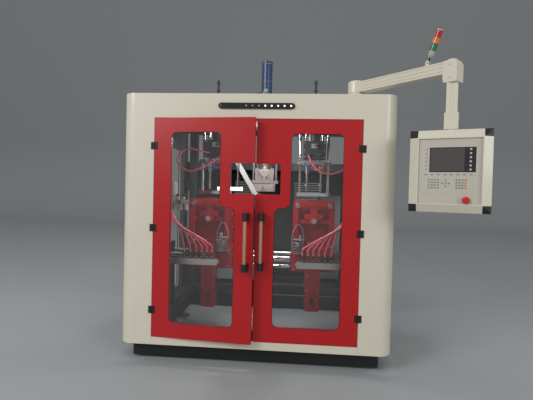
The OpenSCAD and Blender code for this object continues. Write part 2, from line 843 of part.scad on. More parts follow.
// Platen, mould half and ram on the near side of the parting plane, centred on X = 0, at the open position
module clamp_half() {
  open_d = mould_d - clamp_stroke - parting_gap;
  platen_d0 = open_d - mould_t - platen_t;
  ram_out = platen_d0 - front_yoke_d0 + 60;
  color(red_paint) difference() {
    block([-clamp_w / 2, clamp_w / 2], [platen_d0, platen_d0 + platen_t], [platen_z0, platen_z1]);
    tie_positions() translate([0, fy(platen_d0 - 1), 0]) rotate([-90, 0, 0])
      cylinder(d = tie_d + 2 * run_fit, h = platen_t + 2);
    for (x = [-mould_w / 2 - 20, mould_w / 2 - 12], z = [1130, 1180, 1230, 1280])
      block([x, x + 32], [platen_d0 - 1, platen_d0 + 8], [z, z + 22]);
  }
  color(bright_steel) depth_rod(0, boss_z, platen_d0 - ram_out, platen_d0, ram_d / 2);
  color([0.7, 0.71, 0.72]) difference() {
    block([-mould_w / 2, mould_w / 2], [open_d - mould_t, open_d], [mould_z0, mould_z1]);
    translate([0, -clamp_stroke - parting_gap, 0]) bottle_cavities();
  }
}

module front_half(side) { translate([side * station_x, 0, 0]) clamp_half(); }
module rear_half(side) {
  translate([side * station_x, 2 * fy(mould_d), 0]) mirror([0, 1, 0]) clamp_half();
}

module left_carriage() { translate([-station_x, 0, 0]) carriage(); }
module left_front_platen() { front_half(-1); }
module left_rear_platen() { rear_half(-1); }
module right_carriage() { translate([station_x, 0, 0]) carriage(); }
module right_front_platen() { front_half(1); }
module right_rear_platen() { rear_half(1); }

module head_stand() {
  color(bright_steel) {
    difference() {
      block([-stand_w / 2, stand_w / 2], [mould_d - 90, mould_d + 90],
            [head_plate_z, head_plate_z + head_plate_t]);
      for (i = [0:cavities - 1])
        translate([(i - (cavities - 1) / 2) * cavity_pitch, fy(mould_d), head_plate_z - 1])
          cylinder(r = 32, h = 50);
      for (x = [-post_x, post_x])
        translate([x, fy(mould_d), head_plate_z - 1]) cylinder(d = post_d - 6, h = 12);
    }
    for (x = [-post_x, post_x])
      upright_rod(x, mould_d, head_plate_z + head_plate_t, hanger_z, post_d / 2);
    difference() {
      block([-hanger_w / 2, hanger_w / 2], [head_beam_d0, head_beam_d1], [hanger_z, top_beam_z]);
      neck_room();
    }
  }
  // The pale diagonal brace in front of the head, hung from the head beams
  color(white_paint) {
    difference() {
      upright(brace_d, brace_d + brace_t)
        polygon([
          [brace_x[1], top_beam_z], [brace_x[1], brace_bend + 6], [-30, brace_foot], [-84, brace_foot],
          [brace_x[0], brace_bend], [brace_x[0], top_beam_z]
        ]);
      for (drop = [140, 340])
        depth_rod((brace_x[0] + brace_x[1]) / 2, top_beam_z - drop, brace_d - 1, brace_d + brace_t + 1, 6);
    }
    block([brace_x[0], lamp_rod_x + 44], [lamp_d - 30, head_beam_d0 + top_beam_w],
          [hanger_z - lamp_shelf_t, hanger_z - seat_gap]);
  }
  // Lugs and rods that carry the parison cutter
  color(bright_steel) for (x = [-cutter_rod_x, cutter_rod_x]) {
    block([x - 10, x + 10], [mould_d - 80, mould_d - 60], [cutter_z - 14, head_plate_z]);
    depth_rod(x, cutter_z, mould_d - 270, mould_d - 80, cutter_rod_r);
  }
}

module lamp_bar() {
  cap_l = 12;
  color([0.93, 0.94, 0.95]) {
    translate([lamp_x[0] + cap_l, fy(lamp_d), lamp_z]) rotate([0, 90, 0])
      cylinder(r = 17, h = lamp_x[1] - lamp_x[0] - 2 * cap_l);
    for (x = [lamp_x[0], lamp_x[1] - cap_l])
      translate([x, fy(lamp_d), lamp_z]) rotate([0, 90, 0]) cylinder(r = 19, h = cap_l);
    upright_rod(lamp_rod_x, lamp_d, lamp_z, hanger_z - lamp_shelf_t - seat_gap, 6);
  }
}

module die_head() {
  block_z0 = head_plate_z + head_plate_t;
  block_z1 = block_z0 + 120;
  adapter_r = 45;
  color([0.55, 0.55, 0.53]) {
    difference() {
      block([-100, 100], [mould_d - 70, mould_d + 70], [block_z0, block_z1]);
      for (x = [-80, -40, 0, 40, 80])
        depth_rod(x, block_z1 - 24, mould_d - 71, mould_d - 60, 9);
    }
    upright_rod(0, mould_d, block_z1, neck_top, neck_r);
    difference() {
      depth_rod(0, extruder_z, mould_d + 20, barrel_start, adapter_r);
      upright_rod(0, mould_d, block_z1, neck_top, neck_r - 1);
    }
    for (i = [0:cavities - 1])
      translate([(i - (cavities - 1) / 2) * cavity_pitch, fy(mould_d), nozzle_z]) difference() {
        union() {
          cylinder(r1 = 20, r2 = 31, h = 30);
          translate([0, 0, 30]) cylinder(r = 31, h = block_z0 - nozzle_z - 30);
        }
        translate([0, 0, -1]) cylinder(r = 12, h = 30);
        translate([0, 0, -1]) cylinder(r1 = 16, r2 = 12, h = 8);
      }
  }
}

module parison_cutter() {
  blade_z = nozzle_z - 14;
  carrier = [mould_d - 190, mould_d - 165];
  color(bright_steel) {
    block([-125, 125], [carrier[1] - 1, mould_d - 40], [blade_z, blade_z + 3]);
    difference() {
      block([-125, 125], carrier, [blade_z - 6, cutter_z + 16]);
      for (x = [-cutter_rod_x, cutter_rod_x])
        depth_rod(x, cutter_z, carrier[0] - 1, carrier[1] + 1, cutter_rod_r + run_fit);
    }
    depth_rod(0, cutter_z - 16, carrier[0] - 60, carrier[0], 8);
  }
}

module control_cylinder() {
  plate_z0 = top_beam_z + top_beam_h + 8;
  body_z0 = plate_z0 + 160;
  cap_h = 30;
  color([0.12, 0.22, 0.42]) {
    difference() {
      block([-95, 95], [head_beam_d0, head_beam_d1], [top_beam_z + top_beam_h, plate_z0]);
      neck_room();
    }
    upright_rod(0, mould_d, body_z0 - 60, control_top - cap_h, control_d / 2);
    upright_rod(0, mould_d, control_top - cap_h, control_top - 8, control_d / 2 + 3);
    upright_rod(0, mould_d, control_top - 8, control_top, control_d / 2 - 6);
    for (x = [-70, 70], d = [mould_d - 60, mould_d + 60]) upright_rod(x, d, plate_z0, body_z0 - 60, 10);
    block([-85, 85], [mould_d - 80, mould_d + 80], [body_z0 - 85, body_z0 - 60]);
  }
  // Valve block on the front of the cylinder, with its elbow
  color(bright_steel) {
    block([-24, 24], [mould_d - control_d / 2 - 48, mould_d - 20], [body_z0 + 10, body_z0 + 80]);
    depth_rod(0, body_z0 + 58, mould_d - control_d / 2 - 70, mould_d - control_d / 2 - 48, 12);
    block([-34, -24], [mould_d - control_d / 2 - 38, mould_d - control_d / 2 - 10],
          [body_z0 + 24, body_z0 + 56]);
  }
}

hose_r = 9;
// Height of the upper end of the hose, where it leaves the elbow sideways
port_z = top_beam_z + top_beam_h + 208;

module cylinder_hose() {
  hose_points = [
    [-48, fy(839), port_z], [-76, fy(838), port_z + 4], [-118, fy(832), port_z - 18],
    [-150, fy(820), port_z - 98], [-158, fy(810), port_z - 178], [-160, fy(806), port_z - 206]
  ];
  color(black_part)
    swept_tube(concat([[-34 - seat_gap, fy(839), port_z]], smooth(hose_points, 3)), hose_r, [0, 1, 0]);
}

module extruder_barrel() {
  throat_x = 75;
  color(bright_steel) difference() {
    union() {
      depth_rod(0, extruder_z, barrel_start, barrel_end, barrel_d / 2);
      depth_rod(0, extruder_z, barrel_start, barrel_start + 40, flange_r);
      block([-throat_x, throat_x], [hopper_d - throat_l, hopper_d + throat_l],
            [extruder_z - 75, extruder_z + throat_h]);
      block([-60, 60], [support_d, support_d + support_t], [rear_h - sheet_t, extruder_z]);
    }
    depth_rod(0, extruder_z, barrel_start + 20, barrel_end + 1, screw_d / 2);
    translate([0, fy(hopper_d), extruder_z]) cylinder(r = 32, h = throat_h + 1);
  }
}

// The screw flight as a ribbon wound round the Y axis
module flight(from, turns, pitch, r0, r1, w) {
  steps = 12;
  count = turns * steps;
  ribbon = [
    for (i = [0:count])
      let (a = 360 * i / steps, y = from + pitch * i / steps)
        for (p = [[r0, 0], [r1, 0], [r1, w], [r0, w]]) [p[0] * cos(a), y + p[1], -p[0] * sin(a)]
  ];
  walls = [
    for (i = [0:count - 1], k = [0:3])
      [i * 4 + k, i * 4 + (k + 1) % 4, i * 4 + 4 + (k + 1) % 4, i * 4 + 4 + k]
  ];
  ends = [[3, 2, 1, 0], [for (k = [0:3]) count * 4 + k]];
  polyhedron(points = ribbon, faces = concat(ends, walls), convexity = 10);
}

module extruder_screw() {
  flight_r = screw_d / 2 - screw_fit;
  root = flight_r * 0.72;
  from = barrel_start + 60;
  turns = 16;
  pitch = (barrel_end - from - 20) / turns;
  color(bright_steel) {
    depth_rod(0, extruder_z, from, barrel_end + 60, root);
    translate([0, 0, extruder_z]) flight(fy(from), turns, pitch, root * 0.9, flight_r, 8);
  }
}

module heater_bands() {
  // Four bands in front of the barrel's support, and one behind it where there is room
  first_d = barrel_start + 90;
  pitch = (support_d - barrel_start - 205) / 4;
  band_l = pitch - 20;
  last_d = hopper_d - throat_l - 35 - band_l;
  last_ds = last_d > support_d + support_t + 10 ? [last_d] : [];
  band_ds = concat([for (i = [0:3]) first_d + i * pitch], last_ds);
  color([0.62, 0.60, 0.56]) for (d = band_ds) {
    difference() {
      union() {
        depth_rod(0, extruder_z, d, d + band_l, barrel_d / 2 + 9);
        block([-16, 16], [d + 50, d + 110], [extruder_z + barrel_d / 2, extruder_z + barrel_d / 2 + 36]);
      }
      depth_rod(0, extruder_z, d - 1, d + band_l + 1, barrel_d / 2 + 0.2);
    }
  }
}

gear_d = [2425, 2860];
gear_x = 210;

module gearbox() {
  color([0.25, 0.33, 0.42]) difference() {
    union() {
      block([-gear_x, gear_x], gear_d, [rear_h + 30, rear_h + 400]);
      block([-gear_x - 40, gear_x + 40], [gear_d[0] + 20, gear_d[1] - 20], [rear_h, rear_h + 30]);
      depth_rod(0, extruder_z, gear_d[1], gear_d[1] + 60, 110);
      for (x = [-120, 120]) depth_rod(x, rear_h + 300, gear_d[1], gear_d[1] + 14, 55);
    }
    depth_rod(0, extruder_z, gear_d[0] - 1, gear_d[0] + 80, 32);
  }
}

module drive_motor() {
  motor_r = 125;
  d0 = gear_d[1] + 60;
  d1 = d0 + 420;
  color([0.30, 0.31, 0.33]) {
    difference() {
      depth_rod(0, extruder_z, d0, d1, motor_r);
      for (a = [0:20:340])
        translate([0, fy(d0 + 40), extruder_z]) rotate([0, a, 0])
          translate([motor_r - 9, 0, -4]) cube([20, 300, 8]);
    }
    block([-140, 140], [d0 + 60, d1 - 120], [rear_h, rear_h + 22]);
    for (x = [-120, 100]) block([x, x + 20], [d0 + 60, d1 - 120], [rear_h + 22, extruder_z - 70]);
    block([-60, 60], [d0 + 90, d0 + 220], [extruder_z + motor_r - 12, extruder_z + motor_r + 50]);
  }
}

// The rolled drum stands on the cone's upper edge
module hopper() {
  neck_r = 45;
  z0 = extruder_z + throat_h;
  plate = 8;
  cone_z = z0 + 120;
  drum_z = hopper_top - 190;
  r1 = hopper_w / 2;
  wall = 3;
  color(bright_steel) translate([0, fy(hopper_d), 0]) {
    rotate_extrude($fn = 64) polygon([
      [neck_r - wall, z0 + plate], [neck_r - wall, cone_z], [r1 - wall, drum_z], [r1, drum_z],
      [neck_r, cone_z], [neck_r, z0 + plate + wall], [neck_r + 25, z0 + plate + wall],
      [neck_r + 25, z0 + plate]
    ]);
    rotate_extrude($fn = 64) polygon([
      [r1 - wall, drum_z + seat_gap], [r1 - wall, hopper_top], [r1 + 8, hopper_top],
      [r1 + 8, hopper_top - wall], [r1, hopper_top - wall], [r1, drum_z + seat_gap]
    ]);
    translate([0, 0, z0]) difference() {
      cylinder(r = neck_r + 25, h = plate);
      translate([0, 0, -1]) cylinder(r = 32, h = plate + 2);
    }
  }
}

module blow_frame() {
  color(bright_steel) {
    for (x = [-blow_half, blow_half])
      upright_rod(x, mould_d, lower_plate_z + lower_plate_t, hanger_z, blow_rod_d / 2);
    difference() {
      block([-blow_half - 30, blow_half + 30], [mould_d - 60, mould_d + 60],
            [lower_plate_z, lower_plate_z + lower_plate_t]);
      for (i = [0:cavities - 1])
        translate([(i - (cavities - 1) / 2) * cavity_pitch, fy(mould_d), lower_plate_z - 1])
          cylinder(d = pin_d + 6, h = lower_plate_t + 2);
    }
  }
  color(dark_steel) difference() {
    union() {
      block([-hanger_w / 2, hanger_w / 2], [head_beam_d0, head_beam_d1], [hanger_z, top_beam_z]);
      upright_rod(0, mould_d, blow_cyl_z, hanger_z, blow_cyl_r);
      block([-120, 120], [mould_d - 70, mould_d + 70], [blow_cyl_z, blow_cyl_z + blow_block_h]);
      for (x = [-port_x, port_x]) {
        block([x - 15, x + 15], [mould_d - 84, mould_d - 69], [port_height - 15, port_height + 15]);
        block([x - elbow_half, x + elbow_half], [mould_d - 110, mould_d - 83],
              [port_height - elbow_half, port_height + elbow_half]);
      }
    }
    translate([0, fy(mould_d), blow_cyl_z - 1]) cylinder(d = spindle_d + 2 * run_fit, h = 400);
  }
}

// The moving blowing head: crosshead, spindle and blow pins
module blow_head() {
  color(bright_steel) {
    difference() {
      block([-blow_half - 32, blow_half + 32], [mould_d - 45, mould_d + 45], [cross_z, cross_z + cross_t]);
      for (x = [-blow_half, blow_half])
        translate([x, fy(mould_d), cross_z - 1]) cylinder(d = blow_rod_d + 2 * run_fit, h = cross_t + 2);
    }
    upright_rod(0, mould_d, cross_z + cross_t, spindle_top, spindle_d / 2);
    upright_rod(0, mould_d, cross_z + cross_t, cross_z + cross_t + 12, spindle_d);
    upright_rod(0, mould_d, spindle_top - 118, spindle_top - 100, 19);
    upright_rod(0, mould_d, spindle_top - 40, spindle_top - 18, 19);
    for (i = [0:cavities - 1]) {
      x = (i - (cavities - 1) / 2) * cavity_pitch;
      upright_rod(x, mould_d, nozzle_z - 10, cross_z, pin_d / 2);
      upright_rod(x, mould_d, cross_z - 90, cross_z, pin_d / 2 + 9);
    }
  }
}

module blow_frame_left() { translate([-station_x, 0, 0]) blow_frame(); }
module blow_frame_right() { translate([station_x, 0, 0]) blow_frame(); }
module blow_head_left() { translate([-station_x, 0, 0]) blow_head(); }
module blow_head_right() { translate([station_x, 0, 0]) blow_head(); }

tank_x = [-880, -180];
tank_d = [2300, 3300];
tank_top = 640;
tank_lid = 6;
pump_x = -530;
pump_z = 800;
pump_d = [2640, 2760, 3160];
pump_r = 70;
pump_motor_r = 110;
valve_x = [-380, -240];
valve_d = [2500, 3100];
valve_z = [790, 900];
valve_w = 100;
valve_pitch = (valve_d[1] - valve_d[0] - valve_w - 80) / 3;

module hydraulic_unit() {
  tank_z = [bed_z + seat_gap, tank_top];
  lid_z = tank_top + tank_lid;
  color([0.55, 0.58, 0.60]) {
    block(tank_x, tank_d, tank_z);
    block([tank_x[0] - 12, tank_x[1] + 12], [tank_d[0] - 12, tank_d[1] + 12], [tank_top, lid_z]);
    depth_rod(pump_x, pump_z, pump_d[1], pump_d[2], pump_motor_r);
    block([pump_x - 90, pump_x + 90], [pump_d[1] + 40, pump_d[2] - 40], [lid_z, pump_z - pump_motor_r + 12]);
    depth_rod(pump_x, pump_z, pump_d[0], pump_d[1], pump_r);
    block(valve_x, valve_d, [lid_z, valve_z[0]]);
    for (i = [0:3]) let (d = valve_d[0] + 30 + i * valve_pitch)
      block([valve_x[0] + 10, valve_x[1] - 10], [d, d + valve_w], valve_z);
  }
}

// Brings hinge parts to the rear edge of the service door
module on_service_edge() {
  translate([half_w, fy(service_d[1] - door_gap), 0]) rotate([0, 0, -90]) mirror([0, 1, 0]) children();
}
service_zs = [service_z[0] + 160, service_z[1] - 160];

module service_door() {
  gap = door_gap;
  x0 = half_w - sheet_t;
  latch_z = (service_z[0] + service_z[1]) / 2;
  color(white_paint) {
    difference() {
      block([x0 - 17, half_w], [service_d[0] + gap, service_d[1] - gap],
            [service_z[0] + gap, service_z[1] - gap]);
      block([x0 - 18, half_w - sheet_t],
            [service_d[0] + gap + 3, service_d[1] - gap - 3],
            [service_z[0] + gap + 3, service_z[1] - gap - 3]);
    }
    block([half_w, half_w + 14], [service_d[0] + 40, service_d[0] + 70], [latch_z - 60, latch_z + 60]);
    on_service_edge() for (z = service_zs) hinge_moving(z);
  }
}

cab_x = [700, 1000];
gear_row_zs = [420, 760, 1100];
gear_row_h = 140;
drive_z = [1270, 1430];

module control_cabinet() {
  cab_d = [service_d[0] + 30, service_d[1] - 30];
  cab_z = [bed_z + seat_gap, service_z[1] - 40];
  wall = 4;
  color([0.70, 0.71, 0.72]) {
    difference() {
      block(cab_x, cab_d, cab_z);
      block([cab_x[0] + wall, cab_x[1] + 1], [cab_d[0] + wall, cab_d[1] - wall],
            [cab_z[0] + wall, cab_z[1] - wall]);
    }
    for (z = gear_row_zs)
      block([cab_x[0] + wall, cab_x[0] + 70], [cab_d[0] + 60, cab_d[1] - 60], [z, z + gear_row_h]);
    block([cab_x[0] + wall, cab_x[0] + 180], [cab_d[0] + 80, cab_d[0] + 300], drive_z);
  }
}

manifold_d = 250;
manifold_z = [841, 897];
manifold_x = [368, 750];
fitting_xs = [420, 470, 520, 572, 628, 686];
fitting_top = 965;

module water_manifolds() {
  bar_t = 50;
  color([0.66, 0.64, 0.60]) both_sides() {
    block(manifold_x, [manifold_d - bar_t / 2, manifold_d + bar_t / 2], manifold_z);
    block([manifold_x[1] + weld_gap, column_x0 - weld_gap],
          [manifold_d - bar_t / 2 + 10, manifold_d + bar_t / 2 - 10], [manifold_z[0] + 6, manifold_z[1] - 6]);
    for (x = fitting_xs) {
      upright_rod(x, manifold_d, manifold_z[1], manifold_z[1] + 14, 14);
      upright_rod(x, manifold_d, manifold_z[1] + 14, fitting_top, 9);
    }
  }
  // Arms from the manifolds back to the front columns
  color(dark_steel) both_sides()
    block([column_x0, column_x1 - 20], [column_d0 + column_w + weld_gap, manifold_d + 15],
          [manifold_z[0] - 20, manifold_z[1] + 20]);
}

// Points of one water hose: up from its fitting and outwards to the bulkhead on the column
function water_route(i) =
  let (x = fitting_xs[i], rise = 12 * i)
    [
      [x, fy(manifold_d), fitting_top + seat_gap],
      [x, fy(manifold_d), fitting_top + 14],
      [x + 6, fy(manifold_d - 2), fitting_top + 55],
      [x + 0.32 * (790 - x), fy(manifold_d - 12), 1095 + rise],
      [x + 0.70 * (790 - x), fy(manifold_d - 34), 1175 + rise],
      [800, fy(manifold_d - 50 + 4 * i), 1262 + rise],
      [880, fy(manifold_d - 40 + 6 * i), 1335 + rise],
      [column_x0 - 16, fy(manifold_d - 40 + 8 * i), 1352 + rise],
      [column_x0 - seat_gap, fy(manifold_d - 40 + 8 * i), 1352 + rise]
    ];

// A route whose first and last stretches are straight, so that its ends lie flat on what they meet
function with_straight_ends(p, steps) =
  let (n = len(p), inner = [for (i = [1:n - 2]) p[i]])
    concat([p[0]], smooth(inner, steps), [p[n - 1]]);

// The air hoses loop in front of the blowing cylinders
loop_d = 800;
port_d = mould_d - 97;
port_side = elbow_half + seat_gap;
left_loop = [
  [-585 - port_side, fy(port_d), port_height], [-612, fy(port_d), port_height],
  [-660, fy(loop_d), port_height + 10], [-835, fy(loop_d), port_height + 39],
  [-942, fy(loop_d), port_height - 86], [-860, fy(loop_d), port_height - 178],
  [-780, fy(loop_d - 10), port_height - 202], [-690, fy(loop_d - 10), port_height - 172],
  [-560, fy(loop_d), port_height - 100], [-475, fy(port_d), port_height - 30],
  [-475, fy(port_d), port_height - port_side]
];
right_loop = [
  [475, fy(port_d), port_height - port_side], [475, fy(port_d), port_height - 28],
  [505, fy(loop_d), port_height - 95], [590, fy(loop_d), port_height - 175],
  [694, fy(loop_d), port_height - 203], [827, fy(loop_d - 10), port_height - 158],
  [940, fy(loop_d - 30), port_height - 40], [1010, fy(loop_d - 40), port_height + 140],
  [1040, fy(loop_d - 40), top_beam_z - 16], [1040, fy(loop_d - 40), top_beam_z - seat_gap]
];

module water_hoses() {
  color([0.80, 0.25, 0.32]) {
    both_sides() for (i = [0:len(fitting_xs) - 1])
      swept_tube(with_straight_ends(water_route(i), 3), 8, [0, 1, 0]);
    for (route = [left_loop, right_loop])
      swept_tube(with_straight_ends(route, 4), 10, [0, 1, 0]);
  }
}

air_x = [-925, -712];
air_d = 450;
air_z = [1400, 1440];
bowl_xs = [-900, -850, -790, -735];
bowl_l = 60;
knob_xs = [-820, -760];
silencer_x = -860;

module air_unit() {
  back_d = column_d0 + column_w + seat_gap;
  bracket_x = [-column_x0 - 50, -column_x0 - 30];
  bracket_z = [air_z[0] - 5, air_z[1] - 5];
  color([0.74, 0.74, 0.70]) {
    block(bracket_x, [back_d, air_d + 30], bracket_z);
    block([bracket_x[1] - 1, air_x[0] + 1], [air_d + 10, air_d + 30], bracket_z);
    for (x = bowl_xs) upright_rod(x, air_d, air_z[0] - bowl_l, air_z[0], 22);
    block(air_x, [air_d - 25, air_d + 25], air_z);
    for (x = knob_xs) upright_rod(x, air_d, air_z[1], air_z[1] + 30, 14);
    upright_rod(silencer_x, air_d, air_z[1], air_z[1] + 50, 16);
    upright_rod(silencer_x, air_d, air_z[1] + 45, air_z[1] + 165, 36);
    upright_rod(silencer_x, air_d, air_z[1] + 165, air_z[1] + 178, 26);
  }
}

module arm_pedestal() {
  top = arm_z0 - 2;
  color(white_paint) translate([arm_x, fy(arm_d), 0]) {
    rotate_extrude() polygon([
      [0, body_h], [118, body_h], [118, body_h + 10], [108, body_h + 14], [98, body_h + 30],
      [84, body_h + 62], [72, top], [0, top]
    ]);
    translate([0, 0, top - 1]) cylinder(r = 30, h = arm_h - 20);
  }
}

// Everything on the arm is drawn along X from the pivot and turned into place
module on_arm() {
  translate([arm_x, fy(arm_d), 0]) rotate([0, 0, -arm_angle]) children();
}

module swing_arm() {
  groove = 7;
  color(white_paint) on_arm() {
    difference() {
      union() {
        translate([0, 0, arm_z0]) cylinder(r = root_r, h = arm_h);
        translate([0, 0, arm_z1]) rotate_extrude() polygon([
          [0, 0], [root_r, 0], [root_r - 8, 12], [root_r - 30, 21], [0, 25]
        ]);
        translate([0, -arm_w / 2, arm_z0]) cube([arm_len - elbow_w / 2 - seat_gap, arm_w, arm_h]);
      }
      translate([0, 0, arm_z0 - 1]) cylinder(r = 30 + run_fit, h = arm_h - 14);
      for (y = [-arm_w / 2, arm_w / 2], z = [arm_z - 30, arm_z, arm_z + 30])
        translate([root_r, y - 3, z - groove / 2]) cube([arm_len, 6, groove]);
      for (y = [-22, 22])
        translate([root_r, y - groove / 2, arm_z1 - 3]) cube([arm_len, groove, 6]);
    }
    // Ears of the signal tower bracket
    for (y = [-14, 9]) translate([tower_at, y, arm_z1]) difference() {
      union() {
        translate([-16, 0, 0]) cube([32, 5, tower_pivot]);
        translate([0, 5, tower_pivot]) rotate([90, 0, 0]) cylinder(r = 16, h = 5);
      }
      translate([0, 6, tower_pivot]) rotate([90, 0, 0]) cylinder(r = 5, h = 7);
    }
    translate([tower_at - 30, -20, arm_z1]) cube([60, 40, 3]);
  }
}

// The elbow lies along the arm, the tube and its coupling stand square to the panel
module drop_tube() {
  half = elbow_w / 2;
  slope = 30;
  tube_l = elbow_z0 - coupling_z1;
  color(white_paint) on_arm() translate([arm_len, 0, 0]) {
    translate([0, half, 0]) rotate([90, 0, 0]) linear_extrude(elbow_w) polygon([
      [-half, elbow_z0 + slope], [-half + slope * 0.3, elbow_z0], [half, elbow_z0],
      [half, arm_z1 - 30], [half - 16, arm_z1], [-half, arm_z1]
    ]);
    translate([elbow_cap_r - half, 0, arm_z1]) rotate_extrude() polygon([
      [0, -weld_depth], [elbow_cap_r, -weld_depth], [elbow_cap_r, 0], [elbow_cap_r - 4, 8],
      [elbow_cap_r - 16, 15], [0, 18]
    ]);
    rotate([0, 0, arm_angle - panel_angle]) {
      difference() {
        translate([-tube_w / 2, -tube_w / 2, coupling_z1])
          cube([tube_w, tube_w, tube_l + weld_depth]);
        for (a = [0, 90, 180, 270]) rotate([0, 0, a])
          translate([tube_w / 2 - tube_groove[1], -tube_groove[0] / 2, coupling_z1 - 1])
            cube([10, tube_groove[0], tube_l + 1]);
      }
      difference() {
        translate([-coupling_w / 2, -coupling_w / 2, panel_top + swivel_h])
          cube([coupling_w, coupling_w, coupling_z1 - panel_top - swivel_h]);
        translate([0, 0, panel_top]) cylinder(r = spigot_r + run_fit, h = spigot_h + 2);
      }
    }
  }
}

module on_panel() {
  on_arm() translate([arm_len, 0, 0]) rotate([0, 0, arm_angle - panel_angle]) children();
}

// The housing with sloping front borders
module panel_shell() {
  back = panel_t / 2;
  slope = 34;
  hull() {
    translate([-panel_w / 2, -back + slope, panel_z0]) cube([panel_w, panel_t - slope, panel_h]);
    translate([-panel_w / 2 + border_w, -back, panel_z0 + border_w])
      cube([panel_w - 2 * border_w, slope, panel_h - 2 * border_w]);
  }
}

module panel_corner_boxes(grow) {
  size = border_w - 2;
  deep = 62;
  for (x = [-panel_w / 2 - 1, panel_w / 2 - size], z = [panel_z0 - 1, panel_top - size])
    translate([x - grow, -panel_t / 2 - 1, z - grow])
      cube([size + 1 + 2 * grow, deep + grow, size + 1 + 2 * grow]);
}

module panel_housing() {
  face_w = panel_w - 2 * border_w - 14;
  face_h = panel_h - 2 * border_w - 14;
  color(white_paint) on_panel() {
    difference() {
      panel_shell();
      panel_corner_boxes(0.15);
      translate([-face_w / 2, -panel_t / 2 - 1, panel_z0 + (panel_h - face_h) / 2])
        cube([face_w, 15, face_h]);
    }
    translate([0, 0, panel_top]) cylinder(r = swivel_r, h = swivel_h - 0.3);
    translate([0, 0, panel_top]) cylinder(r = spigot_r, h = spigot_h);
    for (z = [panel_z0 + 110, panel_top - 150])
      translate([-panel_w / 2 + 20, panel_t / 2, z]) cube([14, 8, 40]);
  }
}

module panel_corners() {
  color(black_part) on_panel() intersection() {
    panel_shell();
    panel_corner_boxes(0);
  }
}

// The inset plate with the screen frame, the overlay and its keys
module panel_face() {
  w = panel_w - 2 * border_w - 15;
  h = panel_h - 2 * border_w - 15;
  z0 = panel_z0 + (panel_h - h) / 2;
  plate = 3;
  over = 1.2;
  key = 9;
  screen = [-140, 176];
  screen_z = [z0 + 233, z0 + 420];
  color([0.80, 0.79, 0.76]) on_panel() {
    difference() {
      translate([-w / 2, face_y - plate, z0]) cube([w, plate, h]);
      translate([estop_x, face_y + 1, estop_z]) rotate([90, 0, 0])
        cylinder(r = stop_stem_r + run_fit, h = plate + 2);
    }
    difference() {
      translate([-w / 2 + 14, face_y - plate - over, z0 + 76]) cube([w - 36, over, h - 94]);
      translate([screen[0], face_y - plate - over - 1, screen_z[0]])
        cube([screen[1] - screen[0], over + 2, screen_z[1] - screen_z[0]]);
    }
    for (i = [0:3], k = [0:3])
      translate([-146 + i * 21, face_y - plate - 2 * over, z0 + 112 + k * 20]) cube([15, over, 12]);
    for (i = [0:3], k = [0:3])
      translate([44 + i * 20, face_y - plate - 2 * over, z0 + 110 + k * 20]) cube([14, over, 14]);
    for (i = [0:7])
      translate([-172 + i * 44, face_y - plate - 2 * over, z0 + 212]) cube([20, over, key]);
    for (k = [0:5])
      translate([-168, face_y - plate - 2 * over, z0 + 250 + k * 30]) cube([14, over, key]);
    for (a = [0:90:270])
      translate([-24 + 24 * cos(a), face_y - plate - over, z0 + 152 + 24 * sin(a)])
        rotate([90, 0, 0]) cylinder(r = 8, h = over);
    for (k = [0:5])
      translate([140, face_y - plate, screen_z[0] + 20 + k * 30]) rotate([90, 0, 0]) cylinder(r = 8, h = 2);
    translate([estop_x, face_y - plate, estop_z]) rotate([90, 0, 0]) difference() {
      cylinder(r = 20, h = 8);
      translate([0, 0, -1]) cylinder(r = stop_stem_r + run_fit, h = 10);
    }
  }
}

module emergency_stop() {
  r = stop_head_r;
  color([0.78, 0.08, 0.08]) on_panel() translate([estop_x, face_y - 3, estop_z]) rotate([90, 0, 0])
    rotate_extrude() polygon([
      [0, 3], [stop_stem_r, 3], [stop_stem_r, 15], [r - 4, 15], [r, 19], [r, 25], [r - 5, 30], [0, 32]
    ]);
}

module signal_tower() {
  tier = 50;
  body_z = 38;
  stem_r = 9;
  color([0.75, 0.75, 0.73]) on_arm()
  translate([tower_at, 0, arm_z1 + tower_pivot]) rotate([0, tower_lean, 0]) {
    rotate([90, 0, 0]) cylinder(r = 14, h = 16, center = true);
    cylinder(r = stem_r - 2, h = body_z);
    rotate([90, 0, 0]) cylinder(r = 5 - run_fit, h = 28, center = true);
    translate([0, 0, body_z]) cylinder(r1 = 14, r2 = tower_r - 3, h = 20);
    translate([0, 0, body_z + 20]) cylinder(r = tower_r - 3, h = 38);
    for (i = [0:2]) translate([0, 0, body_z + 58 + i * tier]) {
      cylinder(r = tower_r, h = tier - 3);
      translate([0, 0, tier - 3]) cylinder(r = tower_r - 3, h = 3);
    }
    translate([0, 0, body_z + 58 + 3 * tier]) cylinder(r1 = tower_r, r2 = tower_r - 6, h = 9);
  }
}

base_frame();
levelling_pads();
inner_frame();
front_surround();
sill_panel();
side_panel_left();
side_panel_right();
window_panes();
rear_side_left();
rear_side_right();
rear_wall();
roof_panel();
rear_deck();
sign_bar();
frame_hinges();
lamp_bar();
control_cabinet();
guide_rods();
head_stand();
die_head();
parison_cutter();
control_cylinder();
cylinder_hose();
extruder_barrel();
extruder_screw();
heater_bands();
gearbox();
drive_motor();
hopper();
blow_frame_left();
blow_frame_right();
blow_head_left();
blow_head_right();
hydraulic_unit();
service_door();
water_manifolds();
water_hoses();
air_unit();
left_door_leaf();
left_door_pane();
left_handle();
left_door_hinges();
right_door_leaf();
right_door_pane();
right_handle();
right_door_hinges();
left_carriage();
left_front_platen();
left_rear_platen();
right_carriage();
right_front_platen();
right_rear_platen();
arm_pedestal();
swing_arm();
drop_tube();
panel_housing();
panel_corners();
panel_face();
emergency_stop();
signal_tower();
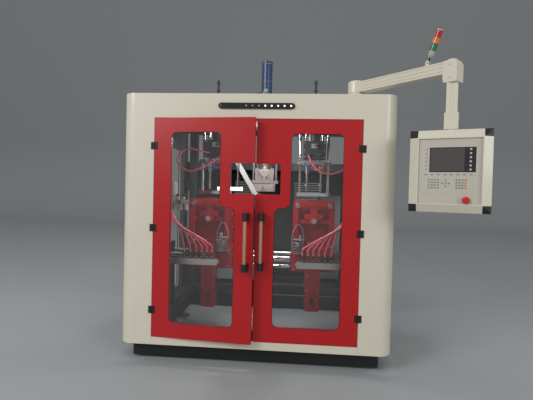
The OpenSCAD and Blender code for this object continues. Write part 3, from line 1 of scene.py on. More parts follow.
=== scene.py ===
"""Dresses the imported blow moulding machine: finishes, fittings, light and camera.

The CAD nodes stay as they are and get procedural finishes. Small fittings, such as bolts, seals,
keys, lamps and hoses, are meshes computed here and placed from the nodes' own boxes. Sizes are in
metres, except for depths, which are in millimetres behind the plane of the closed doors.
"""

from __future__ import annotations

import itertools
import json
import logging
import math
from dataclasses import dataclass
from enum import Enum
from typing import Callable, Iterable, Sequence

import bpy
import numpy as np
from mathutils import Matrix, Vector

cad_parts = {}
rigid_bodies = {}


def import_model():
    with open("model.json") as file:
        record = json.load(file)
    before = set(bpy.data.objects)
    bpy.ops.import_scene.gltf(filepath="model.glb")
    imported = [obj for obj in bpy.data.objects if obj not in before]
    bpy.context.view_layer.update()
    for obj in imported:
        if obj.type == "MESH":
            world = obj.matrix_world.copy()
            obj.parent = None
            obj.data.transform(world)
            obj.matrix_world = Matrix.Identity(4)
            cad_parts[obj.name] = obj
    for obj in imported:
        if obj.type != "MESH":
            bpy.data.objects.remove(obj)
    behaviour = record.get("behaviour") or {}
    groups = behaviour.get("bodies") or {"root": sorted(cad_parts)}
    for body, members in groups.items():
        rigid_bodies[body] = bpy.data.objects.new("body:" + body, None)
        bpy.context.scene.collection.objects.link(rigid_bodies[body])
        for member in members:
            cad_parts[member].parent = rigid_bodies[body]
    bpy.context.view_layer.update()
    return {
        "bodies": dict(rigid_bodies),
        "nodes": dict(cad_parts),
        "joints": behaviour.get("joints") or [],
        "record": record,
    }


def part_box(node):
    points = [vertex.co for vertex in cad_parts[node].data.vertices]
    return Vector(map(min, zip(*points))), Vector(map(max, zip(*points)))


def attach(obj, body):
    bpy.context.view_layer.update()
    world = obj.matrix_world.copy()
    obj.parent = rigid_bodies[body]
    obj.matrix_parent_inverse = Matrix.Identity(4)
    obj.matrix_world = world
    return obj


LOG = logging.getLogger("machine")

Vec = Sequence[float]
Values = float | Sequence[float]
Face = tuple[int, ...]
Finder = Callable[[np.ndarray, np.ndarray], np.ndarray]

ORIGIN = (0.0, 0.0, 0.0)
UP = (0.0, 0.0, 1.0)
DOWN = (0.0, 0.0, -1.0)
FRONT = (0.0, -1.0, 0.0)
BACK = (0.0, 1.0, 0.0)
SIDES = (-1.0, 1.0)


@dataclass(frozen=True)
class Coat:
    """How one finish looks.

    Attributes:
        color: linear base colour.
        rough: middle roughness.
        metal: metallic share.
        grain: noise scale of the fine surface, per metre.
        bump: strength of the fine surface.
        spread: how far the roughness wanders.
        mottle: share by which the colour wanders over large patches.
        clear: clear coat weight.
        alpha: opacity.
        glow: emission strength.
        streak: stretch of the fine noise along X, Y and Z, for brushed or drawn metal.
    """

    color: tuple[float, float, float]
    rough: float = 0.45
    metal: float = 0.0
    grain: float = 900.0
    bump: float = 0.05
    spread: float = 0.08
    mottle: float = 0.06
    clear: float = 0.0
    alpha: float = 1.0
    glow: float = 0.0
    streak: tuple[float, float, float] = (1.0, 1.0, 1.0)


class Finish(Enum):
    """The finishes. Those down to the lamp are the record's material slots, the rest are zones."""

    coat: Coat

    def __new__(cls, value: str, coat: Coat) -> Finish:
        """Makes a finish whose value is its name alone.

        Args:
            value: the material's name.
            coat: the looks.

        Returns:
            The new finish.
        """
        finish = object.__new__(cls)
        finish._value_ = value
        finish.coat = coat
        return finish

    CREAM = "cream_paint", Coat((0.68, 0.635, 0.52), 0.42, grain=1400, bump=0.07, mottle=0.035, clear=0.45)
    RED = "red_paint", Coat((0.45, 0.004, 0.007), 0.36, grain=1100, bump=0.07, mottle=0.07, clear=0.05)
    BLACK = "black_paint", Coat((0.008, 0.008, 0.009), 0.52, grain=900, bump=0.08)
    DARK = "dark_paint", Coat((0.030, 0.032, 0.034), 0.48, grain=700, bump=0.08, mottle=0.15)
    GREY = "grey_paint", Coat((0.22, 0.24, 0.25), 0.45, grain=900, bump=0.08, mottle=0.08)
    BLUE = "blue_paint", Coat((0.018, 0.050, 0.135), 0.36, grain=800, bump=0.06, mottle=0.10, clear=0.2)
    PANE = "clear_sheet", Coat((0.25, 0.255, 0.265), 0.06, bump=0.0, spread=0.03, mottle=0.04, alpha=0.09)
    STEEL = "steel", Coat((0.52, 0.52, 0.51), 0.32, 1.0, grain=260, bump=0.05, spread=0.14, mottle=0.08,
                          streak=(1.0, 1.0, 12.0))
    CHROME = "chrome_rod", Coat((0.78, 0.79, 0.80), 0.12, 1.0, grain=200, bump=0.02, spread=0.06,
                                streak=(0.1, 1.0, 1.0))
    ALUMINIUM = "aluminium", Coat((0.56, 0.55, 0.52), 0.40, 1.0, grain=320, bump=0.07, spread=0.12,
                                  streak=(0.2, 1.0, 3.0))
    # Bronze with a pink tint that is partly a painted reflection of the red doors.
    BRONZE = "bronze_tube", Coat((0.54, 0.31, 0.24), 0.36, 0.55, grain=400, bump=0.04, streak=(3.0, 3.0, 0.2))
    BLACK_PLASTIC = "black_plastic", Coat((0.010, 0.010, 0.011), 0.50, grain=2200, bump=0.14)
    PALE_PLASTIC = "pale_plastic", Coat((0.52, 0.49, 0.425), 0.42, grain=1800, bump=0.06, mottle=0.03)
    GREY_PLASTIC = "grey_plastic", Coat((0.40, 0.40, 0.39), 0.40, grain=1500, bump=0.07)
    RED_PLASTIC = "red_plastic", Coat((0.58, 0.010, 0.010), 0.22, grain=900, bump=0.03, clear=0.5)
    RED_HOSE = "red_hose", Coat((0.78, 0.13, 0.16), 0.30, grain=500, bump=0.04, mottle=0.10)
    BLACK_HOSE = "black_hose", Coat((0.012, 0.012, 0.012), 0.45, grain=1200, bump=0.10)
    LAMP = "lamp_white", Coat((0.90, 0.93, 0.95), 0.30, bump=0.0, glow=1.5)
    BRASS = "brass", Coat((0.62, 0.42, 0.14), 0.30, 1.0, grain=500, bump=0.05, mottle=0.12)
    HEATER = "heater", Coat((0.42, 0.36, 0.28), 0.42, 1.0, grain=90, bump=0.06, spread=0.16, mottle=0.22)
    SCREEN = "screen", Coat((0.070, 0.066, 0.060), 0.20, bump=0.0, mottle=0.15, glow=0.10)
    KEY = "key", Coat((0.40, 0.40, 0.38), 0.45, grain=1500, bump=0.05, mottle=0.02)
    ORANGE_KEY = "orange_key", Coat((0.62, 0.19, 0.05), 0.42, grain=1500, bump=0.05, mottle=0.02)
    GREEN_LENS = "green_lens", Coat((0.012, 0.17, 0.065), 0.18, grain=120, bump=0.02, clear=0.4, glow=0.12)
    AMBER_LENS = "amber_lens", Coat((0.58, 0.17, 0.03), 0.18, grain=120, bump=0.02, clear=0.4, glow=0.15)
    RED_LENS = "red_lens", Coat((0.42, 0.010, 0.014), 0.18, grain=120, bump=0.02, clear=0.4, glow=0.15)
    DOT_DIM = "dot_dim", Coat((0.42, 0.42, 0.43), 0.25, grain=300, bump=0.02, glow=0.10)
    BLUE_HOSE = "blue_hose", Coat((0.03, 0.12, 0.42), 0.32, grain=500, bump=0.04)
    GLOSS_BLACK = "gloss_black", Coat((0.006, 0.006, 0.007), 0.18, grain=300, bump=0.01, clear=0.5)
    # Painted shade: the cream cladding's inner and downward faces are painted this dark grey.
    INSIDE = "inside_paint", Coat((0.150, 0.148, 0.145), 0.50, grain=1200, bump=0.08, mottle=0.12)


class NodeTree:
    """The nodes of a new material, with short ways to add, set and link them."""

    def __init__(self, name: str) -> None:
        """Starts the material with its principled shader.

        Args:
            name: the material's name.
        """
        self.material = bpy.data.materials.new(name)
        self.material.use_nodes = True
        self._tree = self.material.node_tree
        self.shader = self._tree.nodes["Principled BSDF"]

    @staticmethod
    def fill(node: bpy.types.Node, values: dict[str, object]) -> None:
        """Sets inputs of a node by name."""
        for name, value in values.items():
            node.inputs[name].default_value = value

    def add(self, kind: str, values: dict[str, object] | None = None) -> bpy.types.Node:
        """Adds a node.

        Args:
            kind: its type after "ShaderNode".
            values: what its inputs are set to.

        Returns:
            The new node.
        """
        node = self._tree.nodes.new("ShaderNode" + kind)
        self.fill(node, values or {})
        return node

    def link(self, source: bpy.types.Node, output: str, target: bpy.types.Node, entry: str) -> None:
        """Links an output of one node to an input of another."""
        self._tree.links.new(source.outputs[output], target.inputs[entry])


class Paintbox:
    """Makes each finish's material once and hands it out."""

    COAT_ROUGHNESS = 0.12
    PATCHES = {"Scale": 3.2, "Detail": 5.0}
    GRAIN_DETAIL = 3.0
    BUMP_DEPTH = 0.0006
    LEAST_ROUGHNESS = 0.02

    def __init__(self) -> None:
        """Starts with no materials made."""
        self._made: dict[Finish, bpy.types.Material] = {}

    def get(self, finish: Finish) -> bpy.types.Material:
        """Returns the material of a finish.

        Args:
            finish: the finish wanted.

        Returns:
            Its node material, made on first use.
        """
        if finish not in self._made:
            self._made[finish] = self._make(finish.value, finish.coat)
        return self._made[finish]

    def _make(self, name: str, coat: Coat) -> bpy.types.Material:
        """Builds the nodes of one finish.

        A coarse noise moves roughness and colour over large patches, where
        colour = base * (1 - mottle + 2 * mottle * noise), and a fine one raises the surface.

        Args:
            name: the material's name.
            coat: the looks.

        Returns:
            The new material.
        """
        tree = NodeTree(name)
        tree.fill(tree.shader, {"Metallic": coat.metal, "Coat Weight": coat.clear, "Alpha": coat.alpha,
                                "Coat Roughness": self.COAT_ROUGHNESS})
        where = tree.add("TexCoord")
        patches = tree.add("TexNoise", self.PATCHES)
        tree.link(where, "Object", patches, "Vector")
        rough = tree.add("MapRange", {"To Min": max(self.LEAST_ROUGHNESS, coat.rough - coat.spread),
                                      "To Max": min(1.0, coat.rough + coat.spread)})
        tree.link(patches, "Fac", rough, "Value")
        tree.link(rough, "Result", tree.shader, "Roughness")
        tint = tree.add("Mix")
        tint.data_type = "RGBA"
        low = [c * (1.0 - coat.mottle) for c in coat.color]
        high = [min(1.0, c * (1.0 + coat.mottle)) for c in coat.color]
        tree.fill(tint, {"A": (*low, 1.0), "B": (*high, 1.0)})
        tree.link(patches, "Fac", tint, "Factor")
        tree.link(tint, "Result", tree.shader, "Base Color")
        if coat.bump > 0.0:
            stretch = tree.add("Mapping", {"Scale": coat.streak})
            grain = tree.add("TexNoise", {"Scale": coat.grain, "Detail": self.GRAIN_DETAIL})
            bump = tree.add("Bump", {"Strength": coat.bump, "Distance": self.BUMP_DEPTH})
            tree.link(where, "Object", stretch, "Vector")
            tree.link(stretch, "Vector", grain, "Vector")
            tree.link(grain, "Fac", bump, "Height")
            tree.link(bump, "Normal", tree.shader, "Normal")
        if coat.glow > 0.0:
            tree.fill(tree.shader, {"Emission Color": (*coat.color, 1.0), "Emission Strength": coat.glow})
        return tree.material


PAINTS = Paintbox()


def facing(towards: Vec) -> np.ndarray:
    """Rotation that takes +Z to a direction.

    Args:
        towards: any non-zero direction.

    Returns:
        A 3 by 3 matrix whose columns are the turned axes.
    """
    z = np.array(towards, float)
    z /= np.linalg.norm(z)
    guide = np.array([1.0, 0.0, 0.0]) if abs(z[0]) < 0.9 else np.array([0.0, 1.0, 0.0])
    y = np.cross(z, guide)
    y /= np.linalg.norm(y)
    return np.column_stack([np.cross(y, z), y, z])


@dataclass(frozen=True)
class Shape:
    """A mesh as whole arrays.

    Attributes:
        points: corners, one row each.
        faces: corner numbers of each face.
    """

    points: np.ndarray
    faces: tuple[Face, ...]

    def turned(self, towards: Vec) -> Shape:
        """The shape with its +Z turned to a direction."""
        return Shape(self.points @ facing(towards).T, self.faces)


def around(steps: int) -> np.ndarray:
    """Angles in radians from 0, in even steps round a circle."""
    return np.linspace(0.0, 2.0 * math.pi, steps, endpoint=False)


def both(middle: float, *reaches: float) -> list[float]:
    """Values at each reach on both sides of a middle, in rising order."""
    return sorted(middle + side * reach for side in SIDES for reach in reaches)


def spots(x: Values, y: Values, z: Values) -> np.ndarray:
    """Every place that has one of the given X, Y and Z, Z running fastest."""
    return np.array(list(itertools.product(*map(np.atleast_1d, (x, y, z)))))


def bolt_circle(centre: Vec, radius: float, count: int, start: float = 0.0) -> np.ndarray:
    """Places on a level circle: point(a) = centre + (r cos a, r sin a, 0), from a start in degrees."""
    a = around(count) + math.radians(start)
    return np.column_stack([radius * np.cos(a), radius * np.sin(a), np.zeros(count)]) + centre


def swung(points: Iterable[Vec], angle: float, to: Vec) -> np.ndarray:
    """Turns points about the vertical and moves them: (x cos a - y sin a, x sin a + y cos a, z) + to.

    Args:
        points: one row each.
        angle: the turn in radians.
        to: where the origin goes.

    Returns:
        The points, one row each.
    """
    x, y, z = np.array(points, float).T
    c, s = math.cos(angle), math.sin(angle)
    return np.column_stack([x * c - y * s, x * s + y * c, z]) + to


def arcs(corners: Iterable[Vec], steps: int = 7) -> np.ndarray:
    """A plane route through round corners: point(a) = centre + (r cos a, r sin a).

    Args:
        corners: both values of the centre, first angle and sweep in degrees, and radius of each.
        steps: points on each corner.

    Returns:
        The points in two columns.
    """
    run = []
    for u, v, start, sweep, r in corners:
        a = np.radians(np.linspace(start, start + sweep, steps))
        run.append(np.column_stack([u + r * np.cos(a), v + r * np.sin(a)]))
    return np.vstack(run)


def grid_faces(rows: int, sides: int, closed: bool = False) -> tuple[Face, ...]:
    """Quads between rings of equal length, with flat ends unless the rings close on themselves.

    Args:
        rows: number of rings.
        sides: points in a ring.
        closed: joins the last ring to the first.

    Returns:
        The faces.
    """
    i, k = np.meshgrid(np.arange(rows if closed else rows - 1), np.arange(sides), indexing="ij")
    j = (i + 1) % rows
    n = (k + 1) % sides
    quads = np.stack([i * sides + k, i * sides + n, j * sides + n, j * sides + k], axis=-1)
    faces = [tuple(q) for q in quads.reshape(-1, 4).tolist()]
    if not closed:
        faces += [tuple(range(sides - 1, -1, -1)), tuple(range((rows - 1) * sides, rows * sides))]
    return tuple(faces)


def lathe(profile: Sequence[tuple[float, float]], sides: int = 28) -> Shape:
    """Turns a profile about Z: point(r, h, a) = (r cos a, r sin a, h), with flat ends.

    Args:
        profile: (radius, height) pairs from the lower end to the upper end.
        sides: points round the axis.

    Returns:
        The closed solid of revolution.
    """
    r, h = np.array(profile, float).T
    a = around(sides)
    points = np.stack([np.outer(r, np.cos(a)), np.outer(r, np.sin(a)), np.outer(h, np.ones(sides))], -1)
    return Shape(points.reshape(-1, 3), grid_faces(len(profile), sides))


def hoop(section: np.ndarray, sides: int) -> Shape:
    """Turns a closed section about Z: point(a, r, h) = (r cos a, r sin a, h).

    Args:
        section: (radius, height) rows, counter-clockwise.
        sides: steps round the axis.

    Returns:
        The closed ring.
    """
    r, h = section.T
    a = around(sides)
    points = np.stack([np.outer(np.cos(a), r), np.outer(np.sin(a), r), np.outer(np.ones(sides), h)], -1)
    faces = tuple(face[::-1] for face in grid_faces(sides, len(section), closed=True))
    return Shape(points.reshape(-1, 3), faces)


def ring(radius: float, wire: float, sides: int, section: int) -> Shape:
    """A torus round Z, whose section is (R + w cos b, w sin b)."""
    b = around(section)
    return hoop(np.column_stack([radius + wire * np.cos(b), wire * np.sin(b)]), sides)


def collar(outer: float, inner: float, height: float) -> Shape:
    """A flat ring with a square section round Z, its upper outer edge cut back.

    Args:
        outer: outer radius.
        inner: inner radius.
        height: how far it rises.

    Returns:
        The closed ring.
    """
    cut = min(0.0012, height * 0.2)
    section = [(inner, 0.0), (outer, 0.0), (outer, height - cut), (outer - cut, height), (inner, height)]
    return hoop(np.array(section), 28)


def block(size: Vec, chamfer: float = 0.001) -> Shape:
    """A box round the origin with its edges cut back.

    Each corner has three points, one per axis, and that axis keeps its full half size.

    Args:
        size: length, width and height.
        chamfer: how far the edges are cut back.

    Returns:
        The closed block.
    """
    half = np.array(size, float) / 2.0
    cut = min(chamfer, float(half.min()) * 0.45)
    signs = np.array(list(itertools.product(SIDES, repeat=3)))
    points = np.repeat(signs[:, None, :] * (half - cut), 3, axis=1)
    for axis in range(3):
        points[:, axis, axis] = signs[:, axis] * half[axis]
    points = points.reshape(-1, 3)
    ids = np.arange(24).reshape(8, 3)
    faces = [tuple(corner) for corner in ids]
    for axis in range(3):
        u, v = [k for k in range(3) if k != axis]
        for side in SIDES:
            corners = [c for c in range(8) if signs[c, axis] == side]
            corners.sort(key=lambda c: math.atan2(signs[c, v], signs[c, u]))
            faces.append(tuple(ids[corners, axis]))
        for su, sv in itertools.product(SIDES, repeat=2):
            low, high = [c for c in range(8) if signs[c, u] == su and signs[c, v] == sv]
            faces.append((ids[low, u], ids[high, u], ids[high, v], ids[low, v]))
    return Shape(points, outward(points, faces))


def outward(points: np.ndarray, faces: Iterable[Face]) -> tuple[Face, ...]:
    """Turns the faces of a convex shape round the origin so that they all face outwards.

    Args:
        points: the corners.
        faces: faces in any turning sense.

    Returns:
        The same faces, turned where needed.
    """
    result = []
    for face in faces:
        a, b, c = points[list(face[:3])]
        flipped = np.dot(np.cross(b - a, c - a), points[list(face)].mean(0)) < 0.0
        result.append(tuple(int(i) for i in (face[::-1] if flipped else face)))
    return tuple(result)


def prism(outline: Sequence[Vec], height: float) -> Shape:
    """A flat outline, counter-clockwise, given height along Z."""
    layers = [np.insert(np.array(outline, float), 2, z, axis=1) for z in (0.0, height)]
    return Shape(np.vstack(layers), grid_faces(2, len(outline)))


def smooth_route(points: Iterable[Vec], steps: int = 6) -> np.ndarray:
    """Catmull-Rom curve through given points.

    Between b and c it is (2b + (c-a)t + (2a-5b+4c-d)t^2 + (3b-a-3c+d)t^3) / 2.

    Args:
        points: the points it passes.
        steps: steps on each stretch.

    Returns:
        The curve's points, one row each.
    """
    p = np.array(points, float)
    ids = np.arange(len(p) - 1)
    a, b, c, d = (p[np.clip(ids + k, 0, len(p) - 1)][:, None, :] for k in (-1, 0, 1, 2))
    t = (np.arange(steps) / steps)[None, :, None]
    curve = 0.5 * (2 * b + (c - a) * t + (2 * a - 5 * b + 4 * c - d) * t**2 + (3 * b - a - 3 * c + d) * t**3)
    return np.vstack([curve.reshape(-1, 3), p[-1:]])


def tube(route: np.ndarray, radius: float, sides: int, closed: bool = False) -> Shape:
    """A round tube along a route, with frames carried along so that it never twists.

    Args:
        route: points along the centre line.
        radius: radius of the tube.
        sides: points round it.
        closed: joins the ends, as for a seal.

    Returns:
        The closed tube.
    """
    ahead = np.roll(route, -1, 0) - np.roll(route, 1, 0)
    if not closed:
        ahead[0] = route[1] - route[0]
        ahead[-1] = route[-1] - route[-2]
    ahead /= np.linalg.norm(ahead, axis=1)[:, None]
    across = facing(ahead[0])[:, 0]
    a = around(sides)
    rings = []
    for centre, direction in zip(route, ahead):
        across = across - direction * np.dot(across, direction)
        across /= np.linalg.norm(across)
        other = np.cross(direction, across)
        rings.append(centre + radius * (np.outer(np.cos(a), across) + np.outer(np.sin(a), other)))
    return Shape(np.vstack(rings), grid_faces(len(route), sides, closed))


def hex_bolt(across: float) -> Shape:
    """A hexagon head on its washer, rising along Z.

    Args:
        across: distance across the flats.

    Returns:
        The bolt head.
    """
    r = across / math.sqrt(3.0)
    profile = [(1.25, 0.0), (1.25, 0.16), (1.0, 0.17), (1.0, 0.8), (0.86, 0.92)]
    return lathe([(r * reach, r * rise) for reach, rise in profile], 6)


def cap_screw(radius: float) -> Shape:
    """A round head with its socket, rising along Z."""
    profile = [(1.0, 0.0), (1.0, 0.85), (0.9, 1.0), (0.55, 1.0), (0.5, 0.95), (0.5, 0.45)]
    return lathe([(radius * r, radius * h) for r, h in profile], 18)


def dome_screw(radius: float) -> Shape:
    """A low domed head, rising along Z.

    Args:
        radius: radius of the head.

    Returns:
        The screw head.
    """
    a = np.linspace(0.0, math.pi / 2 * 0.82, 5)
    profile = [(radius * math.cos(x), radius * 0.5 * math.sin(x)) for x in a]
    return lathe(profile + [(radius * 0.2, radius * 0.35)], 16)


class Piece:
    """One object of the scene, put together from shapes and riding on a CAD body."""

    SMOOTH_BELOW = math.radians(32.0)
    BEVEL_ABOVE = math.radians(40.0)

    def __init__(self, name: str, body: str, slot: Finish, rows: Iterable[tuple] = ()) -> None:
        """Starts a piece.

        Args:
            name: the object's name.
            body: the CAD body that it rides on.
            slot: the finish that its shapes have by default.
            rows: what put() gets for each of the first shapes.
        """
        self.name = name
        self.body = body
        self.slot = slot
        self._points: list[np.ndarray] = []
        self._faces: list[Face] = []
        self._finish_ids: list[int] = []
        self._finishes: list[Finish] = []
        self._count = 0
        for row in rows:
            self.put(*row)

    def put(self, shape: Shape, x: Values, y: Values, z: Values, towards: Vec = UP,
            finish: Finish | None = None) -> Piece:
        """Adds one shape, its +Z turned, at every place that has one of the given X, Y and Z."""
        return self.add(shape, spots(x, y, z), towards, finish)

    def add(self, shape: Shape, places: Iterable = ORIGIN, towards: Vec = UP,
            finish: Finish | None = None) -> Piece:
        """Adds one shape, once or at several places.

        Args:
            shape: the shape.
            places: where its origin goes, as one place or as one row for each.
            towards: where its +Z points.
            finish: its finish, unless it is the piece's own.

        Returns:
            The piece itself.
        """
        turned = shape.turned(towards)
        finish = finish or self.slot
        if finish not in self._finishes:
            self._finishes.append(finish)
        for place in np.atleast_2d(places):
            self._points.append(turned.points + place)
            self._faces.extend(tuple(i + self._count for i in face) for face in turned.faces)
            self._finish_ids.extend([self._finishes.index(finish)] * len(turned.faces))
            self._count += len(turned.points)
        return self

    def hose(self, route: Iterable[Vec], radius: float, at: Vec = ORIGIN, finish: Finish | None = None,
             steps: int = 6, sides: int = 8) -> Piece:
        """Adds a hose, wire or bent rod through given points that count from a place."""
        return self.add(tube(smooth_route(route, steps), radius, sides), at, finish=finish)

    def build(self, bevel: float = 0.0) -> None:
        """Makes the object, shades it smooth but for its edges and lets it ride.

        Args:
            bevel: width of rounded edges, or 0 for none.
        """
        mesh = bpy.data.meshes.new(self.name)
        mesh.from_pydata(np.vstack(self._points).tolist(), [], self._faces)
        for finish in self._finishes:
            mesh.materials.append(PAINTS.get(finish))
        mesh.polygons.foreach_set("material_index", np.array(self._finish_ids, np.int32))
        mesh.shade_smooth()
        mesh.set_sharp_from_angle(angle=self.SMOOTH_BELOW)
        mesh.update()
        obj = bpy.data.objects.new(self.name, mesh)
        bpy.context.scene.collection.objects.link(obj)
        if bevel > 0.0:
            soften = obj.modifiers.new("edges", "BEVEL")
            soften.width = bevel
            soften.segments = 2
            soften.limit_method = "ANGLE"
            soften.angle_limit = self.BEVEL_ABOVE
        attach(obj, self.body)
        LOG.info("%s rides on %s", self.name, self.body)


@dataclass(frozen=True)
class Node:
    """The box of a CAD node at rest."""

    name: str

    @property
    def low(self) -> np.ndarray:
        """Lowest corner."""
        return np.array(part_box(self.name)[0])

    @property
    def high(self) -> np.ndarray:
        """Highest corner."""
        return np.array(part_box(self.name)[1])

    @property
    def mid(self) -> np.ndarray:
        """Middle of the box."""
        return (self.low + self.high) / 2.0


@dataclass(frozen=True)
class Measures:
    """Sizes that the source shares with the scene."""

    front: float = -1.85
    side: float = 1.2
    door_edge: float = 0.901
    ajar: float = math.radians(5.2)
    handle_x: float = 0.060
    station_x: float = 0.530
    mould_y: float = -0.93
    block_front: float = -1.0
    extruder_z: float = 2.080
    arm: tuple[float, float, float] = (0.880, -1.493, 0.0)
    arm_angle: float = math.radians(45.6)
    arm_length: float = 0.903
    tower_x: float = 0.700
    tower_z: float = 2.593
    panel_angle: float = math.radians(21.0)
    panel_z: float = 1.415

    def depth(self, mm: float) -> float:
        """Y of a depth in millimetres behind the door plane."""
        return self.front + mm / 1000.0

    def depths(self, *mms: float) -> list[float]:
        """Y of several depths in millimetres behind the door plane."""
        return [self.depth(mm) for mm in mms]


M = Measures()


@dataclass(frozen=True)
class Lamp:
    """A square area lamp.

    Attributes:
        name: its name.
        at: its place.
        target: what it points at.
        size: side of the square.
        power: watts.
    """

    name: str
    at: Vec
    target: Vec
    size: float
    power: float


@dataclass(frozen=True)
class Studio:
    """Camera, light and floor."""

    camera_at: tuple[float, float, float] = (0.365, -5.31, 1.544)
    yaw: float = math.radians(4.43)
    pitch: float = math.radians(1.28)
    roll: float = math.radians(1.39)
    lens: float = 27.22
    sensor: float = 36.0
    sight: float = 200.0
    sky: tuple[float, float, float, float] = (0.98, 0.965, 0.955, 1.0)
    sky_strength: float = 0.43
    lamps: tuple[Lamp, ...] = (
        Lamp("key", (-6.0, -8.0, 5.8), (0.0, -1.2, 0.9), 3.5, 390.0),
        Lamp("fill", (5.8, -7.6, 3.6), (0.3, -0.8, 1.0), 3.2, 145.0),
        Lamp("top", (0.0, 0.6, 6.4), (0.0, 0.4, 1.0), 5.0, 60.0),
        Lamp("cabin", (0.0, M.depth(1250), 2.26), (0.0, M.depth(1100), 1.2), 0.5, 20.0),
        Lamp("cabin_front", (0.0, M.depth(260), 2.10), (0.0, M.depth(1000), 0.9), 0.2, 8.0))
    floor_half: float = 30.0
    floor_back: float = 12.0
    floor_bend: float = 4.0
    wall_top: float = 14.0
    floor_color: tuple[float, float, float, float] = (0.36, 0.39, 0.40, 1.0)
    floor_rough: tuple[float, float] = (0.55, 0.66)
    floor_noise: float = 1.2

    def camera(self) -> None:
        """Sets up the camera from its heading.

        forward = (-sin yaw cos pitch, cos yaw cos pitch, -sin pitch), then a roll about it.
        """
        data = bpy.data.cameras.new("camera")
        data.lens = self.lens
        data.sensor_width = self.sensor
        data.clip_end = self.sight
        camera = bpy.data.objects.new("camera", data)
        bpy.context.scene.collection.objects.link(camera)
        level = math.cos(self.pitch)
        forward = Vector((-math.sin(self.yaw) * level, math.cos(self.yaw) * level, -math.sin(self.pitch)))
        right = Vector((math.cos(self.yaw), math.sin(self.yaw), 0.0))
        up = right.cross(forward)
        side = math.cos(self.roll) * right + math.sin(self.roll) * up
        top = -math.sin(self.roll) * right + math.cos(self.roll) * up
        turn = Matrix((side, top, -forward)).transposed()
        camera.matrix_world = Matrix.Translation(self.camera_at) @ turn.to_4x4()
        bpy.context.scene.camera = camera
        bpy.context.scene.view_settings.view_transform = "Standard"

    def light(self) -> None:
        """A pale even sky with large soft lamps, and two weak ones inside the cabin."""
        world = bpy.data.worlds.new("studio")
        world.use_nodes = True
        NodeTree.fill(world.node_tree.nodes["Background"], {"Color": self.sky, "Strength": self.sky_strength})
        bpy.context.scene.world = world
        for lamp in self.lamps:
            data = bpy.data.lights.new(lamp.name, "AREA")
            data.shape = "SQUARE"
            data.size = lamp.size
            data.energy = lamp.power
            obj = bpy.data.objects.new(lamp.name, data)
            bpy.context.scene.collection.objects.link(obj)
            obj.location = lamp.at
            obj.rotation_euler = (Vector(lamp.target) - Vector(lamp.at)).to_track_quat("-Z", "Y").to_euler()

    def floor(self) -> None:
        """A plain grey floor that curves up into a backdrop."""
        back, bend = self.floor_back, self.floor_bend
        run = [(-self.floor_half, 0.0), (back, 0.0)]
        turns = np.radians(np.linspace(0, 90, 12))[1:]
        run += [(back + bend * math.sin(a), bend * (1.0 - math.cos(a))) for a in turns]
        run.append((back + bend, self.wall_top))
        points = [(x, y, z) for y, z in run for x in (-self.floor_half, self.floor_half)]
        faces = [(2 * i, 2 * i + 1, 2 * i + 3, 2 * i + 2) for i in range(len(run) - 1)]
        mesh = bpy.data.meshes.new("floor")
        mesh.from_pydata(points, [], faces)
        mesh.shade_smooth()
        tree = NodeTree("studio_floor")
        where = tree.add("TexCoord")
        noise = tree.add("TexNoise", {"Scale": self.floor_noise})
        rough = tree.add("MapRange", {"To Min": self.floor_rough[0], "To Max": self.floor_rough[1]})
        tree.link(where, "Object", noise, "Vector")
        tree.link(noise, "Fac", rough, "Value")
        tree.link(rough, "Result", tree.shader, "Roughness")
        tree.fill(tree.shader, {"Base Color": self.floor_color})
        mesh.materials.append(tree.material)
        plane = bpy.data.objects.new("floor", mesh)
        bpy.context.scene.collection.objects.link(plane)


class Assembly:
    """A part of the machine that is dressed by one class."""

    def __init__(self, frame: dict) -> None:
        """Keeps the frame."""
        self.frame = frame

    def build(self) -> None:
        """Dresses the part."""
        raise NotImplementedError

    def paint(self, node: str, base: Finish, *zones: tuple[Finish, Finder]) -> None:
        """Gives a CAD node its finish, and some of its faces another one.

        Args:
            node: the node's name.
            base: the finish of all faces that no zone takes.
            zones: finish and test pairs; a test gets face centres and normals and marks its faces.
        """
        mesh = self.frame["nodes"][node].data
        mesh.materials.clear()
        mesh.materials.append(PAINTS.get(base))
        index = np.zeros(len(mesh.polygons), np.int32)
        centres, normals = np.zeros((2, len(index) * 3))
        mesh.polygons.foreach_get("center", centres)
        mesh.polygons.foreach_get("normal", normals)
        for number, (finish, test) in enumerate(zones, 1):
            mesh.materials.append(PAINTS.get(finish))
            index[test(centres.reshape(-1, 3), normals.reshape(-1, 3))] = number
        mesh.polygons.foreach_set("material_index", index)
        mesh.update()

    def paint_all(self, finishes: dict[str, Finish]) -> None:
        """Paints nodes that have one finish each."""
        for node, finish in finishes.items():
            self.paint(node, finish)


class Side(Enum):
    """A side of the machine, by the sign of its X."""

    LEFT = -1.0
    RIGHT = 1.0


class PairedAssembly(Assembly):
    """A part that the machine has on both sides."""

    def __init__(self, frame: dict, side: Side) -> None:
        """Keeps the frame and the side.

        Args:
            side: which of the two parts it is.
        """
        super().__init__(frame)
        self.side = side.name.lower()
        self.sign = side.value
        self.x = self.sign * M.station_x


@dataclass(frozen=True)
class EnclosureSizes:
    """Sizes of the enclosure's trims."""

    inner_x: float = 1.10
    turned_in: float = -0.7
    rod_foot: float = 1.58
    dot: float = 0.0072
    dot_pitch: float = 0.055
    first_dot: float = -0.097
    dim_dots: int = 3
    # Near and far depth, foot and top of each window in a side.
    windows: tuple[Vec, ...] = ((690, 1710, 0.285, 2.060), (2110, 2510, 0.860, 1.535))
    seal: float = 0.006
    seal_bend: float = 0.012
    seal_inset: float = 0.018
    seal_x: float = 1.1915
    screw_pitch: float = 0.30
    # A step in depth, and so in millimetres.
    roof_pitch: int = 340


